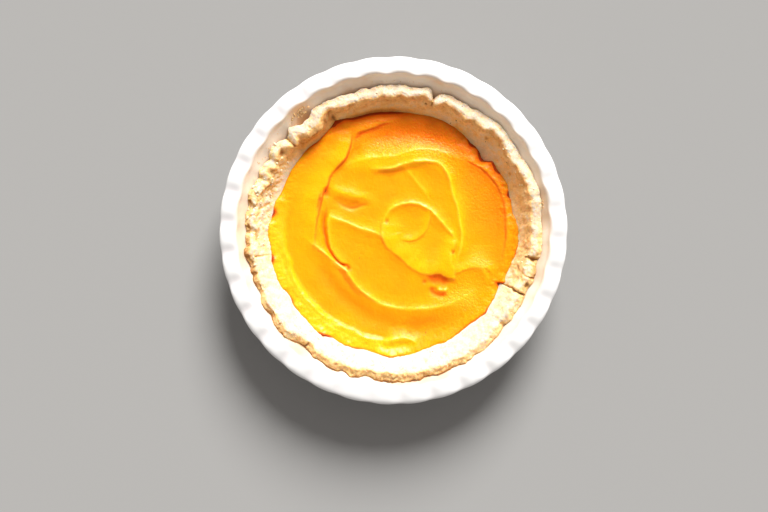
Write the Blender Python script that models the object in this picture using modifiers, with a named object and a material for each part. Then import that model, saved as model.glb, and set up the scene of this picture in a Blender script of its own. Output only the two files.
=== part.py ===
"""A blind-baked pastry case filled with smoothed pumpkin puree, in its white fluted pie dish.

Run with: blender --background --python part.py
Lengths are in metres and angles in degrees, counted anticlockwise from +X and seen from above.
The origin is under the middle of the dish, on the plane that the dish stands on.
"""
import math
from collections import namedtuple

import bmesh
import bpy
import numpy as np
from mathutils import Matrix, Vector

MM = 0.001

# Dish: one glazed ceramic wall with flutes that run down it from the rim.
DISH_STEPS_PER_FLUTE = 4
DISH_FLUTES = 34
FLUTE_GROOVE_ANGLE = 7.55
RIM_RADIUS = 126.0 * MM
RIM_HEIGHT = 44.6 * MM
RIM_CREST_RADIUS = 115.6 * MM
RIM_CREST_ROUND = 2.6 * MM
RIM_FLAT_WIDTH = 4.4 * MM
RIM_NOSE_ROUND = 1.9 * MM
RIM_NOSE_DROP = 5.2 * MM
RIM_UNDERSIDE_DROP = 8.2 * MM
DISH_FLOOR = 6.0 * MM
DISH_FLOOR_RADIUS = 80.0 * MM
DISH_WALL_FOOT = (84.0 * MM, 8.0 * MM)
DISH_WALL_LEAN = 0.838
DISH_WALL_THICKNESS = 6.2 * MM
FOOT_RADIUS = 84.0 * MM
FOOT_WIDTH = 5.0 * MM
FOOT_RECESS = 1.2 * MM
FOOT_ROUND = 2.4 * MM
FLUTE_DEPTH_OUTSIDE = 2.4 * MM
FLUTE_DEPTH_INSIDE = 1.3 * MM
FLUTE_DEPTH_NOSE = 0.7 * MM
FLUTE_DIP_ON_RIM = 2.0 * MM

# Crust: a pressed shortcrust shell, uneven along its edge and lower at the back.
CRUST_STEPS = 168
CRUST_EDGE_RADIUS = 108.2 * MM
CRUST_EDGE_SHIFT = (-0.25 * MM, -2.35 * MM)
CRUST_TOP = 38.2 * MM
CRUST_TOP_FALL = 1.7 * MM
CRUST_RIM_WIDTH = 7.8 * MM
CRUST_RIM_INNER_DROP = 2.6 * MM
CRUST_RIM_OUTER_DROP = 2.2 * MM
CRUST_RIM_DEPTH = 8.0 * MM
CRUST_FLOOR = 12.0 * MM
CRUST_CORNER = 2.0 * MM
CRUST_WALL_GAP = 1.2 * MM
CRUST_RELIEF_START = 27.6 * MM
CRUST_RELIEF_END = 33.0 * MM
CRUMBLE_SEED = 7
CRUMBLE_WAVES = (11, 17, 23, 31, 41)
CRUMBLE_HEIGHT = 0.55 * MM
CRUMBLE_LIFT_TURN = 37.0
CRACK_ANGLE = 333.75
CRACK_WIDTH = 1.8 * MM
CRACK_DEPTH = 4.5 * MM
TOUCHING_GAP = 0.35 * MM

# Filling: its mean level and its edge on the crust, whose wall leans out as a cone.
FILLING_STEPS = 96
FILLING_RINGS = 22
FILLING_LEVEL = 24.0 * MM
FILLING_EDGE_RADIUS = 88.7 * MM
FILLING_EDGE_BAND = 0.14
CRUST_CONE_LEAN = 0.9325
STROKE_SAMPLES = 48
STROKE_TAPER = 0.22

# A lump or a notch of the crust's edge: its middle, half width in degrees, how far it stands out
# of the edge and how far it stands up.
Lump = namedtuple("Lump", "angle half_width out up")
CRUST_LUMPS = (
    Lump(16, 5, 1.2, 0.4),
    Lump(44, 5, 1.6, 0.5),
    Lump(57, 3, -0.8, -0.6),
    Lump(73, 2, -3.0, -2.0),
    Lump(77, 2, 1.2, 0.8),
    Lump(107, 5, -0.8, -0.3),
    Lump(119, 3, 1.0, 0.6),
    Lump(129, 4, -3.2, -0.8),
    Lump(139.5, 2, -3.0, -2.2),
    Lump(145, 3, 1.4, 0.8),
    Lump(150, 2, -2.0, -2.0),
    Lump(155, 3, 1.2, 0.6),
    Lump(160, 2, -0.8, -1.6),
    Lump(166, 3, 0.8, 0.4),
    Lump(175, 3, 0.0, -1.2),
    Lump(188, 4, 1.0, 0.8),
    Lump(197, 2, -0.6, -1.4),
    Lump(210, 4, 0.8, 0.6),
    Lump(222, 4, 0.8, 0.2),
    Lump(233, 2, -2.4, -1.4),
    Lump(247, 4, 0.8, 0.4),
    Lump(261, 3, 0.6, 0.2),
    Lump(290, 6, -0.8, -0.4),
    Lump(320, 5, -1.6, -0.8),
    Lump(344, 5, 0.6, 0.5),
)
# How much of a lump reaches the inner side of the edge.
LUMP_SHARE_INSIDE = 0.4
# Where the wall inside the crust's edge buckles in over the filling.
CRUST_BUCKLES = (
    Lump(30, 3, -1.0, 0.0),
    Lump(50, 4, -1.4, 0.0),
    Lump(77, 4, -1.0, 0.0),
    Lump(118, 2, 2.0, 0.0),
    Lump(129, 8, -4.0, 0.0),
    Lump(146, 4, -1.0, 0.0),
)

# Where the filling is smeared up the crust (out is positive) or stays low on it.
FILLING_SMEARS = (
    Lump(37, 16, -2.4, 0.0),
    Lump(114, 8, 1.2, 0.0),
    Lump(132, 7, -2.0, 0.0),
    Lump(158, 6, -3.2, 0.0),
    Lump(186, 12, 2.8, 0.0),
    Lump(234, 5, 3.0, 0.0),
    Lump(270, 6, 2.0, 0.0),
    Lump(307, 10, -1.2, 0.0),
    Lump(331, 8, -2.4, 0.0),
    Lump(356, 8, 3.0, 0.0),
)

# A stroke of the spoon: a crest from start by way of middle to end, with the slope's width on
# its left and on its right as seen along it. A negative height is a hollow. All in millimetres.
Stroke = namedtuple("Stroke", "start middle end height left right")
SPOON_STROKES = {
    "left lip": Stroke((-33, 62), (-54, 27), (-58, -22), 3.2, 2.6, 11.0),
    "left lip end": Stroke((-32, 82), (-33, 64), (-44, 44), 3.0, 2.6, 9.0),
    "top left lip": Stroke((-38, 66), (-20, 75), (4, 81), 2.6, 7.0, 3.0),
    "upper valley": Stroke((-24, 66), (8, 70), (46, 60), -1.6, 8.0, 8.0),
    "outer arc": Stroke((-40, 45), (6, 61), (62, 50), 2.8, 5.0, 7.0),
    "second arc": Stroke((-30, 38), (11, 50), (46, 36), 2.4, 3.0, 5.0),
    "second arc side": Stroke((30, 49), (49, 13), (44, -40), 2.2, 2.6, 4.0),
    "right lip": Stroke((50, 58), (79, 23), (84, -30), 2.8, 5.0, 3.0),
    "left lump": Stroke((-46, 34), (-31, 28), (-12, 22), 2.8, 5.0, 3.0),
    "left hollow": Stroke((-42, 21), (-31, 14), (-13, 19), -2.4, 3.0, 4.0),
    "streak": Stroke((-48, 14), (-27, 5), (-3, -10), 2.0, 8.0, 4.0),
    "left groove": Stroke((-51, 16), (-50, -8), (-33, -29), -3.0, 3.0, 3.0),
    "lower left crest": Stroke((-64, -8), (-38, -29), (-12, -56), 3.0, 8.0, 3.5),
    "lower left valley": Stroke((-66, -14), (-46, -50), (8, -71), -2.4, 8.0, 10.0),
    "lower crest": Stroke((-28, -45), (18, -61), (64, -40), 2.4, 6.0, 4.0),
    "edge ring left": Stroke((-84, 4), (-76, -34), (-46, -66), 2.0, 4.0, 6.0),
    "edge ring foot": Stroke((-60, -54), (-32, -74), (12, -83), 2.4, 4.0, 5.0),
    "tongue side": Stroke((-6, 14), (-1, -14), (34, -33), 3.6, 12.0, 2.6),
    "tongue top": Stroke((-6, 4), (18, 23), (47, -10), 2.4, 2.8, 7.0),
    "tongue right": Stroke((47, -2), (42, -20), (43, -38), 2.6, 2.6, 7.0),
    "under the tongue": Stroke((20, -38), (33, -38), (46, -34), -3.4, 3.4, 3.4),
    "right crest": Stroke((42, -32), (60, -27), (76, -31), 2.2, 6.0, 4.0),
}

DISH_COLOR = (0.86, 0.86, 0.85, 1.0)
CRUST_COLOR = (0.78, 0.58, 0.34, 1.0)
FILLING_COLOR = (1.0, 0.42, 0.02, 1.0)


def clear_scene():
    for item in list(bpy.context.scene.objects):
        bpy.data.objects.remove(item, do_unlink=True)


def new_collection(name):
    collection = bpy.data.collections.new(name)
    bpy.context.scene.collection.children.link(collection)
    return collection


def principled(name, color, roughness, coat=0.0):
    material = bpy.data.materials.new(name)
    material.use_nodes = True
    shader = material.node_tree.nodes["Principled BSDF"]
    shader.inputs["Base Color"].default_value = color
    shader.inputs["Roughness"].default_value = roughness
    shader.inputs["Metallic"].default_value = 0.0
    shader.inputs["Coat Weight"].default_value = coat
    return material


def smooth_step(low, high, value):
    share = np.clip((value - low) / (high - low), 0.0, 1.0)
    return share * share * (3.0 - 2.0 * share)


def turned(name, profile, steps, collection):
    """Turns a profile of (radius, height) points once round Z and returns the plain mesh object.

    The profile starts on the axis at the top, goes out, and comes back down its outer side.
    """
    mesh = bpy.data.meshes.new(name)
    points = [(radius, 0.0, height) for radius, height in profile]
    edges = [(index, index + 1) for index in range(len(points) - 1)]
    mesh.from_pydata(points, edges, [])
    outline = bpy.data.objects.new(name, mesh)
    bpy.context.scene.collection.objects.link(outline)
    screw = outline.modifiers.new("Turn", "SCREW")
    screw.steps = steps
    screw.render_steps = steps
    screw.use_merge_vertices = True
    screw.merge_threshold = 0.00001
    screw.use_smooth_shade = True
    evaluated = outline.evaluated_get(bpy.context.evaluated_depsgraph_get())
    solid_mesh = bpy.data.meshes.new_from_object(evaluated)
    bpy.data.objects.remove(outline)
    solid = bpy.data.objects.new(name, solid_mesh)
    collection.objects.link(solid)
    return solid


def reshape(solid, relief):
    """Moves each vertex: relief takes and returns radius, angle in degrees, and height."""
    count = len(solid.data.vertices)
    places = np.empty(count * 3)
    solid.data.vertices.foreach_get("co", places)
    places = places.reshape(count, 3)
    radius = np.hypot(places[:, 0], places[:, 1])
    angle = np.degrees(np.arctan2(places[:, 1], places[:, 0])) % 360.0
    radius, angle, height = relief(radius, angle, places[:, 2])
    turn = np.radians(angle)
    moved = np.column_stack((radius * np.cos(turn), radius * np.sin(turn), height))
    solid.data.vertices.foreach_set("co", moved.ravel())
    solid.data.update()


def lump_sum(lumps, angle, field):
    """Adds up one field of the lumps, each a smooth hump over its own stretch of the ring."""
    total = np.zeros_like(angle)
    for lump in lumps:
        away = (angle - lump.angle + 180.0) % 360.0 - 180.0
        total += getattr(lump, field) * MM * np.exp(-(away / lump.half_width) ** 2)
    return total


# Dish


def dish_wall(height):
    """Radius of the dish's plain inner wall at a height."""
    foot_radius, foot_height = DISH_WALL_FOOT
    return foot_radius + (height - foot_height) * DISH_WALL_LEAN


def dish_profile():
    wall_top = RIM_HEIGHT - RIM_NOSE_DROP
    underside = RIM_HEIGHT - RIM_UNDERSIDE_DROP
    return [
        (0.0, DISH_FLOOR),
        (DISH_FLOOR_RADIUS, DISH_FLOOR),
        DISH_WALL_FOOT,
        (dish_wall(wall_top), wall_top),
        (RIM_CREST_RADIUS - RIM_CREST_ROUND, RIM_HEIGHT - 0.65 * RIM_CREST_ROUND),
        (RIM_CREST_RADIUS, RIM_HEIGHT),
        (RIM_CREST_RADIUS + RIM_FLAT_WIDTH, RIM_HEIGHT - 0.1 * RIM_NOSE_DROP),
        (RIM_RADIUS - RIM_NOSE_ROUND, RIM_HEIGHT - 0.5 * RIM_NOSE_DROP),
        (RIM_RADIUS, RIM_HEIGHT - RIM_NOSE_DROP),
        (RIM_RADIUS - RIM_NOSE_ROUND, RIM_HEIGHT - 0.85 * RIM_UNDERSIDE_DROP),
        (dish_wall(underside) + DISH_WALL_THICKNESS, underside),
        (FOOT_RADIUS + FOOT_ROUND, FOOT_ROUND),
        (FOOT_RADIUS, 0.0),
        (FOOT_RADIUS - FOOT_WIDTH, 0.0),
        (FOOT_RADIUS - FOOT_WIDTH - FOOT_RECESS, FOOT_RECESS),
        (0.0, FOOT_RECESS),
    ]


def flute_relief(radius, angle, height):
    """Presses the grooves in: deep outside, shallow inside, and as dips along the rim's top."""
    groove = (1.0 + np.cos(np.radians((angle - FLUTE_GROOVE_ANGLE) * DISH_FLUTES))) / 2.0
    on_rim = height > RIM_HEIGHT - 0.95 * RIM_UNDERSIDE_DROP
    outside = radius > dish_wall(height) + DISH_WALL_THICKNESS / 2.0
    wall_depth = np.where(outside, FLUTE_DEPTH_OUTSIDE, FLUTE_DEPTH_INSIDE)
    wall_depth = wall_depth * smooth_step(0.0, RIM_HEIGHT - RIM_UNDERSIDE_DROP, height)
    toward_nose = smooth_step(RIM_CREST_RADIUS, RIM_RADIUS, radius)
    rim_depth = FLUTE_DEPTH_INSIDE + (FLUTE_DEPTH_NOSE - FLUTE_DEPTH_INSIDE) * toward_nose
    depth = np.where(on_rim, rim_depth, wall_depth)
    dip = np.where(on_rim, FLUTE_DIP_ON_RIM * toward_nose, 0.0)
    return radius - depth * (groove - 0.5), angle, height - dip * groove


def build_dish(collection):
    dish = turned("dish", dish_profile(), DISH_STEPS_PER_FLUTE * DISH_FLUTES, collection)
    reshape(dish, flute_relief)
    dish.data.materials.append(principled("white_glaze", DISH_COLOR, 0.12, coat=0.6))
    return dish


# Crust


def crust_cone(height):
    """Radius of the crust's plain inner wall, which the filling lies against."""
    return FILLING_EDGE_RADIUS + (height - FILLING_LEVEL) * CRUST_CONE_LEAN


def crust_profile():
    edge = CRUST_EDGE_RADIUS
    top = CRUST_TOP
    inner = edge - CRUST_RIM_WIDTH
    inner_top = top - CRUST_RIM_INNER_DROP
    base = DISH_FLOOR + TOUCHING_GAP
    shoulder = top - CRUST_RIM_DEPTH
    relief_middle = (CRUST_RELIEF_START + CRUST_RELIEF_END) / 2.0
    return [
        (0.0, CRUST_FLOOR),
        (crust_cone(CRUST_FLOOR) - CRUST_CORNER, CRUST_FLOOR),
        (crust_cone(CRUST_FLOOR + CRUST_CORNER), CRUST_FLOOR + CRUST_CORNER),
        (crust_cone(CRUST_RELIEF_START), CRUST_RELIEF_START),
        (crust_cone(relief_middle), relief_middle),
        ((crust_cone(relief_middle) + inner) / 2.0, (relief_middle + inner_top) / 2.0),
        (inner, inner_top),
        (inner + 0.2 * CRUST_RIM_WIDTH, top - 0.3 * CRUST_RIM_INNER_DROP),
        (inner + 0.5 * CRUST_RIM_WIDTH, top),
        (inner + 0.8 * CRUST_RIM_WIDTH, top - 0.3 * CRUST_RIM_OUTER_DROP),
        (edge, top - CRUST_RIM_OUTER_DROP),
        (edge - 0.1 * CRUST_RIM_WIDTH, top - 2.0 * CRUST_RIM_OUTER_DROP),
        (dish_wall(shoulder) - CRUST_WALL_GAP, shoulder),
        (dish_wall(base + CRUST_CORNER) - CRUST_WALL_GAP, base + CRUST_CORNER),
        (dish_wall(base) - CRUST_CORNER, base),
        (0.0, base),
    ]


def crumble(angle):
    """Seeded unevenness along the crust's edge: a few waves whose phases are drawn."""
    draw = np.random.default_rng(CRUMBLE_SEED)
    total = np.zeros_like(angle)
    for waves in CRUMBLE_WAVES:
        phase = draw.uniform(0.0, 2.0 * math.pi)
        total += np.sin(np.radians(angle) * waves + phase)
    return total * CRUMBLE_HEIGHT / math.sqrt(len(CRUMBLE_WAVES))


def crust_relief(radius, angle, height):
    """Shifts, tilts and crumbles the edge, and leaves the wall under the filling plain."""
    turn = np.radians(angle)
    share = smooth_step(CRUST_RELIEF_START, CRUST_RELIEF_END, height)
    inner = CRUST_EDGE_RADIUS - CRUST_RIM_WIDTH
    outer_side = smooth_step(inner, CRUST_EDGE_RADIUS, radius)
    shift = CRUST_EDGE_SHIFT[0] * np.cos(turn) + CRUST_EDGE_SHIFT[1] * np.sin(turn)
    lump_share = LUMP_SHARE_INSIDE + (1.0 - LUMP_SHARE_INSIDE) * outer_side
    lumps = lump_sum(CRUST_LUMPS, angle, "out") * lump_share
    buckles = lump_sum(CRUST_BUCKLES, angle, "out") * (1.0 - outer_side)
    radius = radius + share * (shift + lumps + buckles + crumble(angle))
    lift = lump_sum(CRUST_LUMPS, angle, "up") + crumble(angle + CRUMBLE_LIFT_TURN)
    height = height + share * (lift - CRUST_TOP_FALL * np.sin(turn))
    limit = dish_wall(height) - CRUST_WALL_GAP
    radius = np.where(share > 0.0, np.minimum(radius, limit), radius)
    return radius, angle, height


def crack_cutter(collection):
    """A three-sided prism with one edge down, sunk along the crust from the filling to the edge."""
    inner = Vector((FILLING_EDGE_RADIUS, 0.0, FILLING_LEVEL))
    outer = Vector((CRUST_EDGE_RADIUS + 2.0 * MM, 0.0, CRUST_TOP + 1.0 * MM))
    run = outer - inner
    along = run.normalized()
    down = Vector((along.z, 0.0, -along.x))
    wedge = bmesh.new()
    bmesh.ops.create_cone(
        wedge, cap_ends=True, segments=3, radius1=1.0, radius2=1.0, depth=run.length
    )
    # Its edge is one unit down and its flat side half a unit up, so two depths put the edge
    # one depth below the surface and the flat side well above it.
    flare = math.sqrt(3.0) * CRACK_WIDTH
    bmesh.ops.scale(wedge, vec=(flare, 2.0 * CRACK_DEPTH, 1.0), verts=wedge.verts)
    mesh = bpy.data.meshes.new("crack_cutter")
    wedge.to_mesh(mesh)
    wedge.free()
    frame = Matrix((down.cross(along), down, along)).transposed().to_4x4()
    place = Matrix.Translation((inner + outer) / 2.0 - down * CRACK_DEPTH)
    cutter = bpy.data.objects.new("crack_cutter", mesh)
    cutter.matrix_world = Matrix.Rotation(math.radians(CRACK_ANGLE), 4, "Z") @ place @ frame
    cutter.hide_render = True
    cutter.display_type = "WIRE"
    collection.objects.link(cutter)
    return cutter


def build_crust(collection, helpers):
    crust = turned("crust", crust_profile(), CRUST_STEPS, collection)
    reshape(crust, crust_relief)
    cut = crust.modifiers.new("Crack", "BOOLEAN")
    cut.operation = "DIFFERENCE"
    cut.solver = "EXACT"
    cut.object = crack_cutter(helpers)
    crust.data.materials.append(principled("baked_shortcrust", CRUST_COLOR, 0.8))
    return crust


# Filling


def filling_edge(angle):
    """Radius and height of the filling's edge, just clear of the crust's cone."""
    smear = lump_sum(FILLING_SMEARS, angle, "out")
    radius = FILLING_EDGE_RADIUS + smear - 1.5 * TOUCHING_GAP
    height = FILLING_LEVEL + smear / CRUST_CONE_LEAN
    return radius, height


def stroke_path(stroke):
    """Points along a stroke: the parabola through its start, middle and end."""
    share = np.linspace(0.0, 1.0, STROKE_SAMPLES)[:, None]
    start = np.array(stroke.start) * MM
    end = np.array(stroke.end) * MM
    pull = 2.0 * np.array(stroke.middle) * MM - (start + end) / 2.0
    return start * (1 - share) ** 2 + pull * 2 * share * (1 - share) + end * share**2


def stroke_height(stroke, places):
    """Height that one stroke adds at each place: a crest with a slope on either side."""
    path = stroke_path(stroke)
    offset = places[:, None, :] - path[None, :, :]
    nearest = np.argmin((offset**2).sum(axis=2), axis=1)
    along = np.gradient(path, axis=0)[nearest]
    away = offset[np.arange(len(places)), nearest]
    side = along[:, 0] * away[:, 1] - along[:, 1] * away[:, 0]
    distance = np.hypot(away[:, 0], away[:, 1])
    width = np.where(side > 0.0, stroke.left, stroke.right) * MM
    share = nearest / (STROKE_SAMPLES - 1.0)
    taper = smooth_step(0.0, STROKE_TAPER, share) * smooth_step(0.0, STROKE_TAPER, 1.0 - share)
    return stroke.height * MM * taper * np.exp(-(distance / width) ** 2)


def filling_relief(radius, angle, height):
    """Fits the top inside the crust, then raises it by the spoon's strokes and the smears."""
    edge, edge_height = filling_edge(angle)
    on_top = height >= FILLING_LEVEL
    share = radius / FILLING_EDGE_RADIUS
    radius = np.where(on_top, share * edge, radius)
    turn = np.radians(angle)
    places = np.column_stack((radius * np.cos(turn), radius * np.sin(turn)))
    swirl = sum(stroke_height(stroke, places) for stroke in SPOON_STROKES.values())
    near_edge = smooth_step(1.0 - FILLING_EDGE_BAND, 1.0, share)
    level = (FILLING_LEVEL + swirl) * (1.0 - near_edge) + edge_height * near_edge
    return radius, angle, np.where(on_top, level, height)


def filling_profile():
    floor = CRUST_FLOOR + TOUCHING_GAP
    low_side = floor + CRUST_CORNER
    rings = [index / FILLING_RINGS for index in range(FILLING_RINGS + 1)]
    top = [(FILLING_EDGE_RADIUS * ring, FILLING_LEVEL) for ring in rings]
    return top + [
        (crust_cone(low_side) - 2.0 * TOUCHING_GAP, low_side),
        (crust_cone(floor) - 1.5 * CRUST_CORNER, floor),
        (0.0, floor),
    ]


def build_filling(collection):
    filling = turned("filling", filling_profile(), FILLING_STEPS, collection)
    reshape(filling, filling_relief)
    filling.data.materials.append(principled("pumpkin_puree", FILLING_COLOR, 0.35))
    return filling


def main():
    clear_scene()
    quiche = new_collection("pumpkin_quiche")
    helpers = new_collection("cutters")
    build_dish(quiche)
    build_crust(quiche, helpers)
    build_filling(quiche)


main()
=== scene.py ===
import math
import bpy
import numpy as np
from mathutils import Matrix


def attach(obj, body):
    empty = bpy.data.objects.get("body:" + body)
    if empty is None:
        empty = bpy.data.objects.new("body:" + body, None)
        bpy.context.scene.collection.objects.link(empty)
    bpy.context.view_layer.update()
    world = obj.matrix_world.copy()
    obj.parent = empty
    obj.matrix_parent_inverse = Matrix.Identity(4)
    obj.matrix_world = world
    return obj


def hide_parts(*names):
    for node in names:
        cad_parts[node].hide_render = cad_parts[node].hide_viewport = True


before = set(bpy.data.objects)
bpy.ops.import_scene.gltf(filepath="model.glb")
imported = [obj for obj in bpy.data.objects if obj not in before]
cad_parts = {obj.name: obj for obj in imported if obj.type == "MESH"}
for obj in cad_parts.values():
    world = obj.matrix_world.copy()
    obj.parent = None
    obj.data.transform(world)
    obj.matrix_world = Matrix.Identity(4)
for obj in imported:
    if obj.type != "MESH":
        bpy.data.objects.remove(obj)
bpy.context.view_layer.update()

mm = 0.001
print("frame loaded:", sorted(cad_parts))

# Angles are in degrees, anticlockwise seen from above, and lengths in millimetres unless a name
# or a note says otherwise. The origin is under the middle of the dish.


def easeBetween(low, high, value):
    share = np.clip((value - low) / (high - low), 0.0, 1.0)
    return share * share * (3.0 - 2.0 * share)


def angleAway(angle, middle):
    return (angle - middle + 180.0) % 360.0 - 180.0


def humpSum(humps, angle):
    # each hump is (middle, half width in degrees, amount)
    total = np.zeros_like(angle)
    for middle, halfWidth, amount in humps:
        total += amount * np.exp(-(angleAway(angle, middle) / halfWidth) ** 2)
    return total


def splineThrough(points, places):
    # Catmull-Rom through the rows of points, read at places from 0 to len(points) - 1
    points = np.asarray(points, float)
    start = np.clip(np.floor(places).astype(int), 0, len(points) - 2)
    share = (places - start).reshape((-1,) + (1,) * (points.ndim - 1))
    before, here, there = points[np.clip(start - 1, 0, None)], points[start], points[start + 1]
    after = points[np.clip(start + 2, None, len(points) - 1)]
    return 0.5 * (2 * here + (there - before) * share
                  + (2 * before - 5 * here + 4 * there - after) * share ** 2
                  + (3 * here - before - 3 * there + after) * share ** 3)


def softNoise(places, seed):
    # one octave of gradient noise, about -1 to 1, for rows of x, y, z
    draw = np.random.default_rng(seed)
    order = np.tile(draw.permutation(256), 2)
    slopes = draw.normal(size=(256, 3))
    slopes /= np.linalg.norm(slopes, axis=1)[:, None]
    cell = np.floor(places).astype(int)
    inside = places - cell
    fade = inside ** 3 * (inside * (inside * 6 - 15) + 10)
    total = np.zeros(len(places))
    for corner in range(8):
        step = np.array([corner & 1, corner >> 1 & 1, corner >> 2 & 1])
        key = np.zeros(len(places), int)
        for axis in range(3):
            key = order[(key + cell[:, axis] + step[axis]) & 255]
        weight = np.where(step, fade, 1.0 - fade).prod(axis=1)
        total += (slopes[key] * (inside - step)).sum(axis=1) * weight
    return total * 1.7


def layeredNoise(places, size, seed, layers=3):
    # noise whose largest lumps measure about size; the shift keeps the layers from lining up
    shift = 17.3
    return sum(softNoise(places / size * 2 ** layer + shift * layer, seed + layer) * 0.5 ** layer
               for layer in range(layers))


def addPiece(name, mesh):
    piece = bpy.data.objects.new(name, mesh)
    bpy.context.scene.collection.objects.link(piece)
    return piece


def meshObject(name, vertices, faces, attributes=None):
    # vertices in millimetres; attributes are one number for each vertex
    mesh = bpy.data.meshes.new(name)
    mesh.from_pydata((np.asarray(vertices) * mm).tolist(), [], faces)
    mesh.shade_smooth()
    for label, values in (attributes or {}).items():
        layer = mesh.attributes.new(label, "FLOAT", "POINT")
        layer.data.foreach_set("value", np.asarray(values, np.float32))
    mesh.update()
    return addPiece(name, mesh)


def quadsBetween(upper, lower):
    # quads between two closed rows of vertex numbers
    return np.stack((upper, lower, np.roll(lower, -1), np.roll(upper, -1)), axis=-1).tolist()


def fanFaces(pole, row, flip):
    # triangles from one pole to a closed row of vertex numbers
    ends = (np.roll(row, -1), row) if flip else (row, np.roll(row, -1))
    return np.stack((np.full(len(row), pole), *ends), axis=-1).tolist()


def facesOutward(piece):
    # turns the whole mesh if its volume is negative
    mesh = piece.data
    corners = np.empty(len(mesh.vertices) * 3)
    mesh.vertices.foreach_get("co", corners)
    mesh.calc_loop_triangles()
    triangles = np.empty(len(mesh.loop_triangles) * 3, np.int32)
    mesh.loop_triangles.foreach_get("vertices", triangles)
    a, b, c = corners.reshape(-1, 3)[triangles.reshape(-1, 3)].transpose(1, 0, 2)
    if (a * np.cross(b, c)).sum() < 0.0:
        mesh.flip_normals()


# Node helpers, shared by the finishes and the geometry trees.

def setInputs(tree, node, inputs):
    # inputs: a socket's name or number, and its value or what feeds it
    for key, value in inputs.items():
        socket = node.inputs[key]
        if isinstance(value, bpy.types.Node):
            value = value.outputs[0]
        if isinstance(value, bpy.types.NodeSocket):
            tree.links.new(value, socket)
        else:
            socket.default_value = (*value, 1.0) if socket.type == "RGBA" else value


def addNode(tree, kind, inputs=None, **settings):
    node = tree.nodes.new(kind)
    for key, value in settings.items():
        setattr(node, key, value)
    setInputs(tree, node, inputs or {})
    return node


def calculate(tree, operation, *values, kind="Math", **settings):
    node = addNode(tree, "ShaderNode" + kind, dict(enumerate(values)), operation=operation, **settings)
    return node.outputs[0]


def newTree(kind, name, inputs, outputs):
    # a node group with sockets of (label, kind, value); also gives its inner inputs and its output node
    tree = bpy.data.node_groups.new(name, kind)
    for direction, sockets in (("INPUT", inputs), ("OUTPUT", outputs)):
        for label, socketKind, *value in sockets:
            socket = tree.interface.new_socket(label, in_out=direction, socket_type="NodeSocket" + socketKind)
            if value:
                socket.default_value = value[0]
    return tree, addNode(tree, "NodeGroupInput").outputs, addNode(tree, "NodeGroupOutput")


def finishTree(tree, mesh, material, leave):
    smooth = addNode(tree, "GeometryNodeSetShadeSmooth", {"Geometry": mesh})
    paint = addNode(tree, "GeometryNodeSetMaterial", {"Geometry": smooth, "Material": material})
    setInputs(tree, leave, {"Geometry": paint})
    return tree


def namedAttribute(tree, label):
    node = addNode(tree, "GeometryNodeInputNamedAttribute", {"Name": label}, data_type="FLOAT")
    return node.outputs["Attribute"]


def growWithNodes(name, base, tree, inputs):
    # runs a geometry tree on base and returns its result as a plain mesh object
    modifier = base.modifiers.new("grow", "NODES")
    modifier.node_group = tree
    for item in tree.interface.items_tree:
        if item.item_type == "SOCKET" and item.in_out == "INPUT" and item.name in inputs:
            modifier[item.identifier] = inputs[item.name]
    evaluated = base.evaluated_get(bpy.context.evaluated_depsgraph_get())
    mesh = bpy.data.meshes.new_from_object(evaluated)
    mesh.name = name
    base.modifiers.remove(modifier)
    bpy.data.objects.remove(base)
    piece = addPiece(name, mesh)
    facesOutward(piece)
    return piece


def makeGrainGroup():
    # two sizes of soft grain: Tone is about 0 to 1, Height is for a Bump node
    group, given, leave = newTree(
        "ShaderNodeTree", "softGrain", [("Vector", "Vector"), ("Coarse Scale", "Float", 120.0),
                                        ("Fine Scale", "Float", 900.0), ("Fine Share", "Float", 0.5)],
        [("Tone", "Float"), ("Height", "Float")])
    coarse, fine = [
        addNode(group, "ShaderNodeTexNoise", {"Vector": given["Vector"], "Scale": given[label],
                                              "Detail": detail, "Roughness": roughness})
        for label, detail, roughness in (("Coarse Scale", 4.0, 0.55), ("Fine Scale", 3.0, 0.6))]
    blend = addNode(group, "ShaderNodeMix", {"Factor": given["Fine Share"], "A": coarse, "B": fine},
                    data_type="FLOAT")
    setInputs(group, leave, {"Tone": coarse, "Height": blend.outputs["Result"]})
    return group


grainGroup = makeGrainGroup()


def startMaterial(name, coarse, fine, share):
    # a Principled material with the grain group on Object coordinates; gives the grain's two outputs
    material = bpy.data.materials.new(name)
    material.use_nodes = True
    tree = material.node_tree
    place = addNode(tree, "ShaderNodeTexCoord").outputs["Object"]
    grain = addNode(tree, "ShaderNodeGroup", node_tree=grainGroup)
    setInputs(tree, grain, {"Vector": place, "Coarse Scale": coarse, "Fine Scale": fine, "Fine Share": share})
    return material, tree, grain.outputs["Tone"], grain.outputs["Height"]


def finishMaterial(material, inputs):
    setInputs(material.node_tree, material.node_tree.nodes["Principled BSDF"], inputs)
    return material


def bumpFrom(tree, height, strength, distance, **more):
    return addNode(tree, "ShaderNodeBump", {
        "Height": height, "Strength": strength, "Distance": distance, **more})


def colorSteps(tree, source, steps):
    ramp = addNode(tree, "ShaderNodeValToRGB", {"Fac": source})
    marks = ramp.color_ramp.elements
    while len(marks) < len(steps):
        marks.new(0.5)
    for mark, (place, color) in zip(marks, steps):
        mark.position = place
        mark.color = (*color, 1.0)
    return ramp.outputs["Color"]


def mixColors(tree, factor, first, second, blend="MIX"):
    return addNode(tree, "ShaderNodeMix", {"Factor": factor, "A": first, "B": second},
                   data_type="RGBA", blend_type=blend).outputs["Result"]


def readAttribute(tree, label):
    return addNode(tree, "ShaderNodeAttribute", attribute_name=label).outputs["Fac"]


def remap(tree, source, low, high, newLow, newHigh):
    # source is a socket or an attribute's name
    if isinstance(source, str):
        source = readAttribute(tree, source)
    values = dict(enumerate((source, low, high, newLow, newHigh)))
    return addNode(tree, "ShaderNodeMapRange", values).outputs["Result"]


def overGrain(tree, source, newLow, newHigh):
    # a remap of the soft grain, whose values mostly lie between 0.3 and 0.7
    return remap(tree, source, 0.3, 0.7, newLow, newHigh)


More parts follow.
